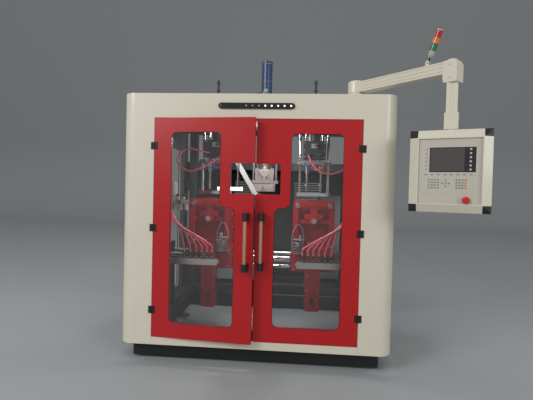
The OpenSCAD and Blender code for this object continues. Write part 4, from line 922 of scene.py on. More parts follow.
class Enclosure(Assembly):
    """Frame, cladding, guide rods and panes, with their trims."""

    sizes = EnclosureSizes()
    PULL = ((0.0, 0, -0.05), (0.016, 0, -0.045), (0.02, 0, 0.0), (0.016, 0, 0.045), (0.0, 0, 0.05))
    LAMP_CABLE = ((0.012, 0, 1.575), (0.013, 0, 1.75), (0.011, 0, 2.0), (0.012, 0, 2.23))

    def build(self) -> None:
        """Paints the nodes and adds the trims."""
        # Faces that look into the machine or face down get the dark grey as painted shade.
        for node in ("front_surround", "sill_panel", "side_panel_left", "side_panel_right", "rear_side_left",
                     "rear_side_right", "rear_wall", "roof_panel", "rear_deck", "service_door"):
            self.paint(node, Finish.CREAM, (Finish.INSIDE, self._shaded_faces))
        self.paint_all({"window_panes": Finish.PANE, "base_frame": Finish.BLACK,
                        "levelling_pads": Finish.STEEL, "inner_frame": Finish.DARK,
                        "frame_hinges": Finish.BLACK, "sign_bar": Finish.GLOSS_BLACK})
        self.paint("lamp_bar", Finish.LAMP, (Finish.STEEL, lambda c, n: c[:, 2] > self.sizes.rod_foot))
        # The rear guide rods are chrome as well; their duller steel is painted shade.
        self.paint("guide_rods", Finish.CHROME, (Finish.STEEL, lambda c, n: c[:, 1] > M.mould_y))
        self.sign_dots()
        self.window_seals()
        self.fixings()
        self.lamp_cable()

    def _shaded_faces(self, c: np.ndarray, n: np.ndarray) -> np.ndarray:
        """Marks the faces that look into the machine or face down; they get the dark grey as painted shade.

        Args:
            c: face centres.
            n: face normals.

        Returns:
            A mask, one for each face.
        """
        s = self.sizes
        sides = (np.abs(c[:, 0]) > s.inner_x) & (n[:, 0] * np.sign(c[:, 0]) < s.turned_in)
        back = (c[:, 1] > M.depth(3500)) & (n[:, 1] < s.turned_in)
        front = (c[:, 1] < M.depth(100)) & (-n[:, 1] < s.turned_in)
        return sides | back | front | (n[:, 2] < s.turned_in)

    def sign_dots(self) -> None:
        """Eight round lamps in the bar over the doors, the first ones dim, and the bar's screws."""
        s = self.sizes
        bar = Node("sign_bar")
        y, z = bar.low[1], bar.mid[2] + 0.0015
        lens = lathe([(s.dot, 0.0), (s.dot, 0.003), (s.dot * 0.8, 0.0045), (s.dot * 0.4, 0.0055)], 20)
        xs = s.first_dot + s.dot_pitch * np.arange(8)
        Piece("sign_dots", "machine", Finish.LAMP, [
            (lens, xs[:s.dim_dots], y + 0.006, z, FRONT, Finish.DOT_DIM),
            (lens, xs[s.dim_dots:], y + 0.006, z, FRONT)]).build()
        Piece("sign_screws", "machine", Finish.STEEL, [
            (dome_screw(0.0045), (bar.low[0] + 0.022, bar.high[0] - 0.022), y, z, FRONT)]).build()

    def window_seals(self) -> None:
        """Black rubber round each pane of the sides."""
        s = self.sizes
        piece = Piece("side_window_seals", "machine", Finish.BLACK_PLASTIC)
        for side in SIDES:
            for near, far, foot, top in s.windows:
                y0, y1 = M.depth(near) + s.seal_inset, M.depth(far) - s.seal_inset
                z0, z1 = foot + s.seal_inset, top - s.seal_inset
                turns = ((y1, z1, 0), (y0, z1, 90), (y0, z0, 180), (y1, z0, 270))
                loop = arcs([(*turn, 90, s.seal_bend) for turn in turns])
                piece.add(tube(np.insert(loop, 0, side * s.seal_x, axis=1), s.seal, 8, closed=True))
        piece.build()

    def fixings(self) -> None:
        """Screws along the sheets, nuts on the anchors, locks and the service door's pull."""
        dome = dome_screw(0.006)
        lock = lathe([(0.014, 0.0), (0.014, 0.003), (0.012, 0.005), (0.006, 0.005), (0.005, 0.002)], 24)
        zs = np.arange(0.26, 2.05, self.sizes.screw_pitch)
        screws, locks = [], []
        for side in SIDES:
            x, out = side * M.side, (side, 0, 0)
            screws += [(dome, x, M.depths(205, 2040), zs, out), (dome, x, M.depths(2095, 3670), zs[:-1], out)]
            locks.append((lock, x, M.depth(2220), (0.48, 0.69), out))
        screws.append((dome, (-1.17, 1.17, 0.0), Node("rear_wall").high[1], zs[:-1], BACK))
        for node, near, far in (("rear_deck", 2150, 3650), ("roof_panel", 250, 2000)):
            depths = M.depths(*range(near, far, self.sizes.roof_pitch))
            screws.append((dome, both(0.0, 1.15), depths, Node(node).high[2]))
        Piece("cladding_screws", "machine", Finish.STEEL, screws).build()
        Piece("anchor_nuts", "machine", Finish.STEEL, [
            (hex_bolt(0.030), both(0.0, 0.97), M.depths(230, 1310, 2390, 3470),
             Node("levelling_pads").high[2])]).build()
        Piece("panel_locks", "machine", Finish.BLACK_PLASTIC, locks).build()
        at = (M.side, M.depth(2640), Node("service_door").mid[2] + 0.12)
        pull = Piece("service_pull", "rear_service_door", Finish.BLACK_PLASTIC)
        pull.hose(self.PULL, 0.006, at, sides=10).build()

    def lamp_cable(self) -> None:
        """The cable of the cabin lamp, tied along its rod."""
        x, y = -0.234, Node("lamp_bar").mid[1]
        cable = Piece("lamp_cable", "machine", Finish.BLACK_HOSE).hose(self.LAMP_CABLE, 0.0035, (x, y, 0.0))
        cable.put(ring(0.0085, 0.0025, 20, 6), x, y, (1.66, 1.86, 2.06), UP, Finish.BLACK_PLASTIC).build()


@dataclass(frozen=True)
class DoorSizes:
    """Sizes of a door's trims, in the door's own frame."""

    hinge_reach: float = 0.006
    handle_block: float = 0.067
    handle_y: float = -0.062
    bead: float = 0.00248
    bead_y: float = 0.0012
    # X and Z of each corner's centre, its first angle and sweep in degrees, and its radius.
    bead_arcs: tuple[Vec, ...] = (
        (0.206, 0.412, 180, 90, 0.05), (0.684, 0.412, 270, 90, 0.05), (0.684, 1.347, 0, 90, 0.05),
        (0.660, 1.457, 270, -90, 0.06), (0.550, 1.988, 0, 90, 0.05), (0.206, 1.988, 90, 90, 0.05))
    screw_y: float = -0.004
    leaf_x: float = 0.020
    jamb_x: float = 0.016
    hinge_foot: float = 0.0315
    hinge_zs: tuple[float, float] = (1.197, 1.918)


class FrontDoor(PairedAssembly):
    """A door with its handle. The doors are mirrored, and the left one is ajar."""

    sizes = DoorSizes()

    def build(self) -> None:
        """Paints the door and adds the bead, the screws and the handle's caps."""
        s, side = self.sizes, self.side
        self.paint_all({f"{side}_door_leaf": Finish.RED, f"{side}_door_pane": Finish.PANE,
                        f"{side}_door_hinges": Finish.BLACK})
        handle = Node(f"{side}_handle")
        low, high = handle.low[2] + s.handle_block, handle.high[2] - s.handle_block
        # The handle's pink tint is partly a painted reflection of the red door.
        self.paint(handle.name, Finish.BRONZE,
                   (Finish.BLACK_PLASTIC, lambda c, n: (c[:, 2] < low) | (c[:, 2] > high)))
        bead = self.to_world(np.insert(arcs(s.bead_arcs), 1, s.bead_y, axis=1))
        Piece(f"{side}_window_bead", f"{side}_door", Finish.BLACK_PLASTIC).add(
            tube(bead, s.bead, 8, closed=True)).build()
        self.hinge_screws()
        x, y = M.door_edge - M.handle_x, s.handle_y
        top, foot = self.to_world([(x, y, handle.high[2]), (x, y, handle.low[2])])
        cap = lathe([(0.0085, 0.0), (0.0085, 0.0012), (0.006, 0.002)], 20)
        Piece(f"{side}_handle_caps", f"{side}_door", Finish.BLACK_PLASTIC,
              [(cap, *top), (cap, *foot, DOWN)]).build()

    def to_world(self, points: Iterable[Vec]) -> np.ndarray:
        """Takes door coordinates to the row frame.

        Door X runs from the hinge edge to the free edge, Y into the door and Z up.

        Args:
            points: one row each.

        Returns:
            The points in the row frame.
        """
        reach = self.sizes.hinge_reach
        turn = -M.ajar if self.side == "left" else 0.0
        world = swung(np.array(points, float) + (0.0, reach, 0.0), turn, (-M.door_edge, M.front - reach, 0.0))
        return world * (-self.sign, 1.0, 1.0)

    def hinge_screws(self) -> None:
        """Screws in the hinge leaves of the door and of the frame."""
        s, side = self.sizes, self.side
        hinges = (Node(f"{side}_door_hinges").low[2] + s.hinge_foot, *s.hinge_zs)
        zs = [z + dz for z in hinges for dz in (-0.02, 0.0, 0.02)]
        foot, ahead = self.to_world([ORIGIN, FRONT])
        leaf = Piece(f"{side}_hinge_screws", f"{side}_door", Finish.BLACK)
        leaf.add(dome_screw(0.0045), self.to_world(spots(s.leaf_x, s.screw_y, zs)), ahead - foot).build()
        x, y = self.sign * (M.door_edge + s.jamb_x), M.front + s.screw_y
        Piece(f"{side}_jamb_screws", "machine", Finish.BLACK, [(dome_screw(0.0045), x, y, zs, FRONT)]).build()


@dataclass(frozen=True)
class StationSizes:
    """Sizes in a moulding station."""

    tie_x: float = 0.161
    tie_r: float = 0.017
    tie_zs: tuple[float, float] = (1.010, 1.405)
    # Depths of the front and the back of the yoke.
    yoke_front: float = 590
    yoke_back: float = 1250
    mould_x: float = 0.137
    mould_deep: float = 0.0895
    plate_deep: float = 0.140
    ram_start: float = 0.141
    coil_x: float = 0.150
    coil_z: float = 0.925
    coil_r: float = 0.052
    coil_pitch: float = 0.021
    coil_turns: int = 6
    coil_hose: float = 0.00483


class Station(PairedAssembly):
    """A sliding mould station."""

    sizes = StationSizes()
    ARCH = ((-0.060, 0.575, -0.106), (-0.062, 0.570, 0.05), (-0.035, 0.565, 0.135), (0.0, 0.562, 0.165),
            (0.035, 0.565, 0.130), (0.052, 0.570, 0.06), (0.056, 0.572, 0.01))

    def build(self) -> None:
        """Paints the station and adds nuts, fittings and its hoses."""
        self.paint(f"{self.side}_carriage", Finish.RED, (Finish.CHROME, self._on_tie))
        self.platen("front", 1.0)
        self.platen("rear", -1.0)
        self.nuts()
        self.spiral_hose()

    def _on_tie(self, c: np.ndarray, n: np.ndarray) -> np.ndarray:
        """Marks the round faces of the tie bars.

        Args:
            c: face centres.
            n: face normals.

        Returns:
            A mask, one for each face.
        """
        s = self.sizes
        off_x = np.abs(np.abs(c[:, 0] - self.x) - s.tie_x)
        off_z = np.min([np.abs(c[:, 2] - z) for z in s.tie_zs], axis=0)
        return (np.hypot(off_x, off_z) < s.tie_r) & (np.abs(n[:, 1]) < 0.5)

    def platen(self, end: str, way: float) -> None:
        """Paints platen, milled mould and polished ram, and adds cap screws and water nipples.

        Args:
            end: front or rear.
            way: 1 for the front one and -1 for the rear one.
        """
        s, x = self.sizes, self.x
        box = Node(f"{self.side}_{end}_platen")
        parting = box.high[1] if way > 0.0 else box.low[1]

        def mould(c: np.ndarray, n: np.ndarray) -> np.ndarray:
            """Marks the mould half on the platen."""
            return (way * (parting - c[:, 1]) < s.mould_deep) & (np.abs(c[:, 0] - x) < s.mould_x)

        self.paint(box.name, Finish.RED, (Finish.ALUMINIUM, mould),
                   (Finish.CHROME, lambda c, n: way * (parting - c[:, 1]) > s.ram_start))
        plate, water, out = parting - way * s.plate_deep, parting - way * 0.045, (0, -way, 0)
        nipple = lathe([(0.009, 0.0), (0.009, 0.010), (0.006, 0.011), (0.006, 0.022), (0.0075, 0.024),
                        (0.006, 0.03)], 12)
        Piece(f"{self.side}_{end}_mould_fittings", f"{self.side}_{end}_mould", Finish.STEEL, [
            (cap_screw(0.008), both(x, 0.10, 0.05), plate, (1.02, 1.415), out),
            (cap_screw(0.008), both(x, 0.188), plate, (1.09, 1.2, 1.31), out),
            (nipple, x - 0.140, water, (1.13, 1.28), (-1, 0, 0), Finish.BRASS),
            (nipple, x + 0.140, water, (1.13, 1.28), (1, 0, 0), Finish.BRASS)]).build()

    def nuts(self) -> None:
        """Nuts on the tie bars, screws on cheeks and stem, and wipers where the rods enter."""
        s, x = self.sizes, self.x
        front, back = M.depths(s.yoke_front, s.yoke_back)
        nut = lathe([(0.026, 0.0), (0.026, 0.016), (0.023, 0.019), (0.013, 0.019), (0.012, 0.014)], 24)
        Piece(f"{self.side}_station_nuts", f"{self.side}_station", Finish.STEEL, [
            (nut, both(x, s.tie_x), front, s.tie_zs, FRONT), (nut, both(x, s.tie_x), back, s.tie_zs, BACK),
            (cap_screw(0.007), both(x, 0.19), M.depth(715), (0.745, 0.885), FRONT),
            (cap_screw(0.006), both(x, 0.055), front, (0.40, 0.55, 0.70, 0.88), FRONT)]).build()
        wiper, ys, zs = collar(0.029, 0.0202, 0.009), M.depths(750, 1090), (0.762, 0.846)
        Piece(f"{self.side}_rod_wipers", f"{self.side}_station", Finish.BLACK_PLASTIC, [
            (wiper, x + side * 0.22, ys, zs, (side, 0, 0)) for side in SIDES]).build()

    def spiral_hose(self) -> None:
        """The black spiral air hose that hangs before the yoke, its coil painted grey as a painted sheen, and
        the pale hose that arches over it.

        A turn rises by the pitch: point(t) = (R cos t, R sin t, pitch * t / 2 pi).
        """
        s = self.sizes
        middle = self.x - self.sign * s.coil_x
        end = middle + s.coil_r
        top = s.coil_z + s.coil_pitch * s.coil_turns
        t = np.linspace(0.0, 2.0 * math.pi * s.coil_turns, 20 * s.coil_turns)
        coil = np.column_stack([middle + s.coil_r * np.cos(t), M.depth(520) + s.coil_r * np.sin(t),
                                s.coil_z + s.coil_pitch * t / (2.0 * math.pi)])
        foot = [(end, M.depth(592), s.coil_z), (end, M.depth(560), s.coil_z)]
        head = [(end, M.depth(550), top), (middle + s.coil_r * 0.9, M.depth(578), top + 0.010)]
        piece = Piece(f"{self.side}_spiral_hose", f"{self.side}_station", Finish.BLACK_HOSE)
        # The coil's grey is a painted sheen on a black hose.
        piece.add(tube(np.vstack([foot, coil, head]), s.coil_hose, 8), finish=Finish.GREY)
        bar, clip = block((0.105, 0.020, 0.016), 0.003), block((0.030, 0.022, 0.060), 0.003)
        piece.put(bar, middle, M.depth(580), top + 0.012, UP, Finish.KEY)
        piece.put(clip, middle + self.sign * 0.020, M.depth(572), top + 0.030, UP, Finish.KEY)
        piece.hose(self.ARCH, 0.0042, (middle, M.front, top), Finish.GREY_PLASTIC).build()


@dataclass(frozen=True)
class BlowingSizes:
    """Sizes in a blowing unit."""

    foot_top: float = 1.54
    rod_x: float = 0.15
    rod_r: float = 0.0155
    rod_top: float = 2.27
    piston_r: float = 0.0125
    piston_foot: float = 1.9
    head_top: float = 2.36
    pin_x: float = 0.075
    beam_top: float = 1.872
    coupling_x: float = 0.11
    coupling_z: float = 1.854


class BlowingUnit(PairedAssembly):
    """A blowing unit over a station."""

    sizes = BlowingSizes()
    # X is in shares of the coupling's distance from the middle.
    TAIL = ((1.0, -0.04, 0.0), (1.0, -0.075, -0.008), (0.7, -0.085, -0.054), (0.25, -0.06, -0.079),
            (-0.1, -0.03, -0.064), (-0.2, 0.0, -0.019))

    def build(self) -> None:
        """Paints the unit and adds its valves and fittings."""
        s, x = self.sizes, self.x

        def rods(c: np.ndarray, n: np.ndarray) -> np.ndarray:
            """Marks the foot and the round guide rods."""
            rod = np.abs(np.abs(c[:, 0] - x) - s.rod_x) < s.rod_r
            return (c[:, 2] < s.foot_top) | (rod & (c[:, 2] < s.rod_top))

        def piston(c: np.ndarray, n: np.ndarray) -> np.ndarray:
            """Marks the piston rod."""
            return (np.abs(c[:, 0] - x) < s.piston_r) & (c[:, 2] > s.piston_foot)

        self.paint(f"blow_frame_{self.side}", Finish.DARK, (Finish.CHROME, rods))
        # Above the head's top, the steel and the chrome piston rod are painted dark as painted shade, in
        # place of the top lamp's highlight.
        self.paint(f"blow_head_{self.side}", Finish.STEEL, (Finish.CHROME, piston),
                   (Finish.DARK, lambda c, n: c[:, 2] > s.head_top))
        self.cylinder_block()
        self.crosshead()

    def cylinder_block(self) -> None:
        """Screws, tie rods, ports and a valve on the cylinder block."""
        x, y, front = self.x, M.mould_y, M.block_front
        rod = lathe([(0.007, 0.0), (0.007, 0.18)], 12)
        plug = lathe([(0.0075, 0.0), (0.0075, 0.005), (0.006, 0.006), (0.004, 0.006), (0.0035, 0.002)], 6)
        Piece(f"{self.side}_cylinder_details", "machine", Finish.STEEL, [
            (cap_screw(0.008), both(x, 0.105), front, (1.915, 1.99, 2.065), FRONT),
            (rod, both(x, 0.09), both(y, 0.045), 2.086, UP, Finish.CHROME),
            (plug, both(x, 0.055), y - 0.110, 1.940, FRONT, Finish.BRASS),
            (block((0.07, 0.035, 0.05), 0.004), x, front - 0.018, 2.03, UP, Finish.GREY_PLASTIC),
            (block((0.024, 0.020, 0.022), 0.003), x + 0.018, front - 0.046, 2.03, UP, Finish.BLACK_PLASTIC),
        ]).build()

    def crosshead(self) -> None:
        """Nuts and collars of the blow pins, screws, quick couplings and short hoses."""
        s, x, y = self.sizes, self.x, M.mould_y
        front = Node(f"blow_head_{self.side}").low[1]
        ports = (x - s.coupling_x, x + 0.04, x + s.coupling_x)
        coupling = lathe([(0.011, 0.0), (0.011, 0.014), (0.008, 0.016), (0.008, 0.030), (0.010, 0.032),
                          (0.010, 0.042)], 14)
        piece = Piece(f"{self.side}_crosshead_details", f"{self.side}_blowing_head", Finish.STEEL, [
            (hex_bolt(0.034), both(x, s.pin_x), y, s.beam_top),
            (cap_screw(0.006), both(x, 0.15), both(y, 0.032), s.beam_top),
            (coupling, ports, front, s.coupling_z, FRONT, Finish.BRASS),
            (collar(0.020, 0.0122, 0.020), both(x, s.pin_x), y, 1.60, UP, Finish.BRASS)])
        for side, finish in ((-1.0, Finish.BLUE_HOSE), (1.0, Finish.RED_HOSE)):
            route = np.array(self.TAIL) * (side * s.coupling_x, 1.0, 1.0)
            piece.hose(route, 0.0055, (x, front, s.coupling_z), finish, 5, 9)
        piece.build()


@dataclass(frozen=True)
class HeadSizes:
    """Sizes at the die head."""

    # Three depths and a height at which a node's finish changes.
    stand_front: float = 603
    blade_back: float = 756
    valve_back: float = 851
    stand_top: float = 2.27
    nozzle_x: float = 0.075
    nozzle_z: float = 1.560
    clamp_z: float = 1.616
    stub_x: float = 0.02
    block_top: float = 1.775
    neck_r: float = 0.068
    band_zs: tuple[float, ...] = (1.79, 1.905, 2.045)


class HeadUnit(Assembly):
    """Die head, its stand, the cutter and the control cylinder."""

    sizes = HeadSizes()
    # X is in shares of the wire's sway.
    WIRE = ((0.0, -0.036, 1.695), (0.3, -0.055, 1.715), (0.9, -0.045, 1.775), (1.3, -0.01, 1.88),
            (1.2, 0.005, 2.05), (1.0, -0.01, 2.26))

    def build(self) -> None:
        """Paints the head and adds heater bands, screws and wiring."""
        s = self.sizes
        stand, blade, valve = M.depths(s.stand_front, s.blade_back, s.valve_back)
        self.paint("head_stand", Finish.STEEL,
                   (Finish.KEY, lambda c, n: (c[:, 1] < stand) & (c[:, 2] < s.stand_top)))
        self.paint("die_head", Finish.STEEL, (Finish.HEATER, lambda c, n: c[:, 2] > s.block_top + 0.01))
        self.paint("parison_cutter", Finish.ALUMINIUM, (Finish.STEEL, lambda c, n: c[:, 1] > blade))
        self.paint("control_cylinder", Finish.BLUE, (Finish.STEEL, lambda c, n: c[:, 1] < valve))
        self.paint("cylinder_hose", Finish.BLACK_HOSE)
        self.nozzles()
        self.head_block()
        self.neck()
        self.cylinder()

    def nozzles(self) -> None:
        """A band heater with its clamp round each nozzle, and a pin in it."""
        s, y = self.sizes, M.mould_y
        pin = lathe([(0.0115, 0.0), (0.0125, 0.004), (0.010, 0.016), (0.006, 0.026)], 20)
        rows = []
        for x in both(0.0, s.nozzle_x):
            rows += [(collar(0.037, 0.0312, 0.045), x, y, s.nozzle_z + 0.034, UP, Finish.HEATER),
                     (block((0.020, 0.012, 0.030), 0.002), x, y - 0.042, s.clamp_z),
                     (cap_screw(0.004), x, y - 0.048, s.clamp_z, FRONT),
                     (pin, x, y, s.nozzle_z + 0.001, UP, Finish.CHROME)]
        Piece("nozzle_heaters", "machine", Finish.STEEL, rows).build()

    def head_block(self) -> None:
        """Cap screws, sensor stubs with their wires, and bolts on the block."""
        s, front = self.sizes, M.block_front
        stub = lathe([(0.007, 0.0), (0.007, 0.012), (0.0045, 0.014), (0.0045, 0.040)], 12)
        piece = Piece("head_block_details", "machine", Finish.STEEL, [
            (cap_screw(0.0075), both(0.0, 0.085, 0.05), front, (1.675, 1.715), FRONT),
            (stub, both(0.0, s.stub_x), front, 1.695, FRONT, Finish.BRASS),
            (hex_bolt(0.022), both(0.0, 0.085), both(M.mould_y, 0.055), s.block_top)])
        for x, sway in ((-s.stub_x, -0.05), (s.stub_x, 0.06)):
            piece.hose(np.array(self.WIRE) * (sway, 1.0, 1.0), 0.0035, (x, front, 0.0))
        piece.build()

    def neck(self) -> None:
        """Band heaters with their terminal boxes and screws round the neck."""
        s, y = self.sizes, M.mould_y
        front, rows = y - s.neck_r, []
        for z in s.band_zs:
            rows += [(collar(s.neck_r + 0.007, s.neck_r + 0.0004, 0.105), 0.0, y, z, UP, Finish.HEATER),
                     (block((0.05, 0.03, 0.04), 0.003), 0.0, front - 0.02, z + 0.05),
                     (cap_screw(0.0045), 0.034, front - 0.002, (z + 0.02, z + 0.085), (0.4, -1, 0))]
        Piece("neck_heaters", "machine", Finish.STEEL, rows).build()

    def cylinder(self) -> None:
        """Bolts, seams and a gauge on the control cylinder, screws and a nut on the cutter."""
        y, box = M.mould_y, Node("control_cylinder")
        top = box.high[2]
        piece = Piece("control_cylinder_details", "machine", Finish.STEEL)
        piece.put(hex_bolt(0.022), both(0.0, 0.07), both(y, 0.06), box.low[2] + 0.12)
        piece.add(cap_screw(0.005), bolt_circle((0.0, y, top - 0.008), 0.048, 6, 30.0))
        piece.put(ring(0.0585, 0.003, 40, 8), 0.0, y, top - 0.032)
        piece.put(ring(0.0575, 0.0022, 40, 8), 0.0, y, 2.72)
        gauge = lathe([(0.020, 0.0), (0.020, 0.012), (0.018, 0.014), (0.017, 0.012)])
        piece.put(gauge, 0.0, M.depth(793), 2.60, FRONT).build()
        Piece("cutter_details", "cutter", Finish.STEEL, [
            (cap_screw(0.005), both(0.0, 0.09, 0.03), M.depth(730), 1.560, FRONT),
            (hex_bolt(0.018), 0.0, Node("parison_cutter").low[1], 1.584, FRONT)]).build()


@dataclass(frozen=True)
class ExtruderSizes:
    """Sizes at the extruder."""

    # Depths of the heater bands.
    bands: tuple[float, ...] = (1165, 1355, 1545, 1735, 2095)
    band_r: float = 0.091
    gear_x: float = 0.21
    eye_x: float = -0.1
    # First radius of the grille's rings, end and step.
    grille: tuple[float, float, float] = (0.020, 0.112, 0.013)
    wire: float = 0.0022
    box_y: float = 0.155
    gate_rise: float = 0.030


class ExtruderUnit(Assembly):
    """Barrel, heater bands, hopper, gearbox and motor."""

    sizes = ExtruderSizes()
    BAND_WIRE = ((0.012, 0.0, 0.097), (0.05, 0.01, 0.111), (0.10, 0.02, 0.04), (0.13, 0.03, -0.02),
                 (0.14, 0.05, -0.06))
    DUCT = ((0.0, 1.150, -0.065), (0.0, 1.600, -0.065), (0.0, 2.000, -0.068), (0.0, 2.165, -0.08))
    # Radius and height.
    COWL = ((0.127, -0.07), (0.130, -0.066), (0.130, -0.006), (0.122, 0.0), (0.116, 0.001), (0.114, -0.004))
    GRIP = ((-0.11, -0.04, 0.0), (-0.15, -0.035, 0.0), (-0.155, 0.0, 0.0), (-0.15, 0.035, 0.0),
            (-0.11, 0.04, 0.0))

    def build(self) -> None:
        """Paints the extruder and adds boxes, bolts, wiring and the fan grille."""
        self.paint_all({"extruder_barrel": Finish.STEEL, "extruder_screw": Finish.CHROME,
                        "heater_bands": Finish.HEATER, "gearbox": Finish.BLUE, "drive_motor": Finish.DARK,
                        "hopper": Finish.STEEL})
        self.bands()
        self.gearbox()
        self.motor()
        self.hopper()

    def bands(self) -> None:
        """Terminal boxes with armoured wires on the bands, clamp screws, and the wires' sleeve."""
        s, z = self.sizes, M.extruder_z
        lid, screw = block((0.036, 0.064, 0.010), 0.003), cap_screw(0.004)
        piece = Piece("band_terminals", "machine", Finish.STEEL)
        for y in M.depths(*s.bands):
            piece.put(lid, 0.0, y, z + s.band_r + 0.005, UP, Finish.PALE_PLASTIC)
            for side in SIDES:
                piece.put(screw, side * 0.045, both(y, 0.07), z + 0.047, (side, 0, 1))
            piece.hose(self.BAND_WIRE, 0.005, (0.0, y, z))
        piece.hose(self.DUCT, 0.016, (0.14, M.front, z), Finish.BLACK_HOSE, 5, 10).build()

    def gearbox(self) -> None:
        """Cover and foot bolts, an oil glass, a breather and lifting eyes."""
        s, box = self.sizes, Node("gearbox")
        y, top = box.low[1], box.high[2]
        covers = y + np.array((0.06, 0.20, 0.34))
        glass = lathe([(0.022, 0.0), (0.022, 0.008), (0.018, 0.010), (0.016, 0.008)], 24)
        breather = lathe([(0.012, 0.0), (0.012, 0.02), (0.022, 0.022), (0.022, 0.045), (0.016, 0.05)], 18)
        rows = [(hex_bolt(0.019), side * s.gear_x, covers, (1.985, 2.295), (side, 0, 0)) for side in SIDES]
        rows += [(glass, -s.gear_x, y + 0.27, 2.06, (-1, 0, 0), Finish.BRASS),
                 (breather, 0.12, y + 0.12, top, UP, Finish.BLACK_PLASTIC)]
        for eye in (y + 0.09, y + 0.35):
            rows += [(lathe([(0.016, 0.0), (0.016, 0.008), (0.010, 0.012)], 18), s.eye_x, eye, top),
                     (ring(0.017, 0.005, 24, 8), s.eye_x, eye, top + 0.030, (1, 0, 0))]
        rows.append((hex_bolt(0.024), both(0.0, 0.23), (y + 0.05, y + 0.38), 1.955))
        Piece("gearbox_details", "machine", Finish.STEEL, rows).build()

    def motor(self) -> None:
        """Fan cowl with its grille, terminal lid, cable with its gland, and foot bolts."""
        s, z, box = self.sizes, M.extruder_z, Node("drive_motor")
        y, top, end = box.low[1], box.high[2], box.high[1]
        lid = y + s.box_y
        gland = lathe([(0.012, 0.0), (0.012, 0.010), (0.010, 0.012), (0.010, 0.024), (0.007, 0.03)], 12)
        cable = ((0.085, 0.155, top - 0.02), (0.15, 0.15, top - 0.03), (0.22, 0.13, 2.10), (0.24, 0.11, 1.98),
                 (0.24, 0.10, 1.926))
        piece = Piece("motor_details", "machine", Finish.BLACK_PLASTIC)
        piece.put(lathe(self.COWL, 48), 0.0, end + 0.004, z, BACK, Finish.DARK)
        for radius in np.arange(*s.grille):
            piece.put(ring(radius, s.wire, 36, 6), 0.0, end + 0.006, z, BACK, Finish.STEEL)
        for a in around(8)[:4]:
            arm = np.outer((-s.grille[1], s.grille[1]), (math.cos(a), 0.0, math.sin(a)))
            piece.put(tube(arm, s.wire, 6), 0.0, end + 0.007, z, UP, Finish.STEEL)
        piece.put(block((0.122, 0.132, 0.006), 0.002), 0.0, lid, top + 0.003, UP, Finish.GREY)
        piece.put(cap_screw(0.004), both(0.0, 0.05), both(lid, 0.055), top + 0.006, UP, Finish.STEEL)
        piece.put(gland, 0.06, lid, top - 0.02, (1, 0, 0))
        piece.hose(cable, 0.008, (0.0, y, 0.0), Finish.BLACK_HOSE, sides=10)
        piece.put(hex_bolt(0.020), both(0.0, 0.128), (y + 0.09, y + 0.27), 1.947, UP, Finish.STEEL).build()

    def hopper(self) -> None:
        """Flange bolts, seams, a sight glass and a slide gate with its grip."""
        box = Node("hopper")
        x, y, _ = box.mid
        foot, top, gate = box.low[2], box.high[2], box.low[2] + self.sizes.gate_rise
        radius = box.high[0] - x
        piece = Piece("hopper_details", "machine", Finish.STEEL)
        piece.add(hex_bolt(0.013), bolt_circle((x, y, foot + 0.011), 0.058, 4, 45.0))
        piece.put(ring(radius - 0.008, 0.006, 64, 8), x, y, top - 0.003)
        piece.put(ring(radius - 0.0075, 0.004, 64, 8), x, y, top - 0.188)
        piece.put(block((0.05, 0.14, 0.008), 0.003), x, y - 0.185, 2.49, (0.0, -0.82, -0.57), Finish.PANE)
        piece.put(block((0.11, 0.16, 0.010), 0.002), x - 0.06, y, gate)
        piece.hose(self.GRIP, 0.005, (x, y, gate), steps=5).build()


@dataclass(frozen=True)
class RoomSizes:
    """Sizes in the machine room and the front bay."""

    lid: float = 0.65
    module_x: tuple[float, float] = (0.706, 0.90)
    module_depth: float = 2990
    module_reach: float = 0.36
    bar_end: float = 1.009
    bar_top: float = 0.8975
    bar_z: float = 0.869
    hose_xs: tuple[float, ...] = (0.420, 0.470, 0.520, 0.572, 0.628, 0.686)
    cover_z: float = 1.486
    device_zs: tuple[float, ...] = (0.49, 0.83, 1.17)
    device_pitch: float = 0.040


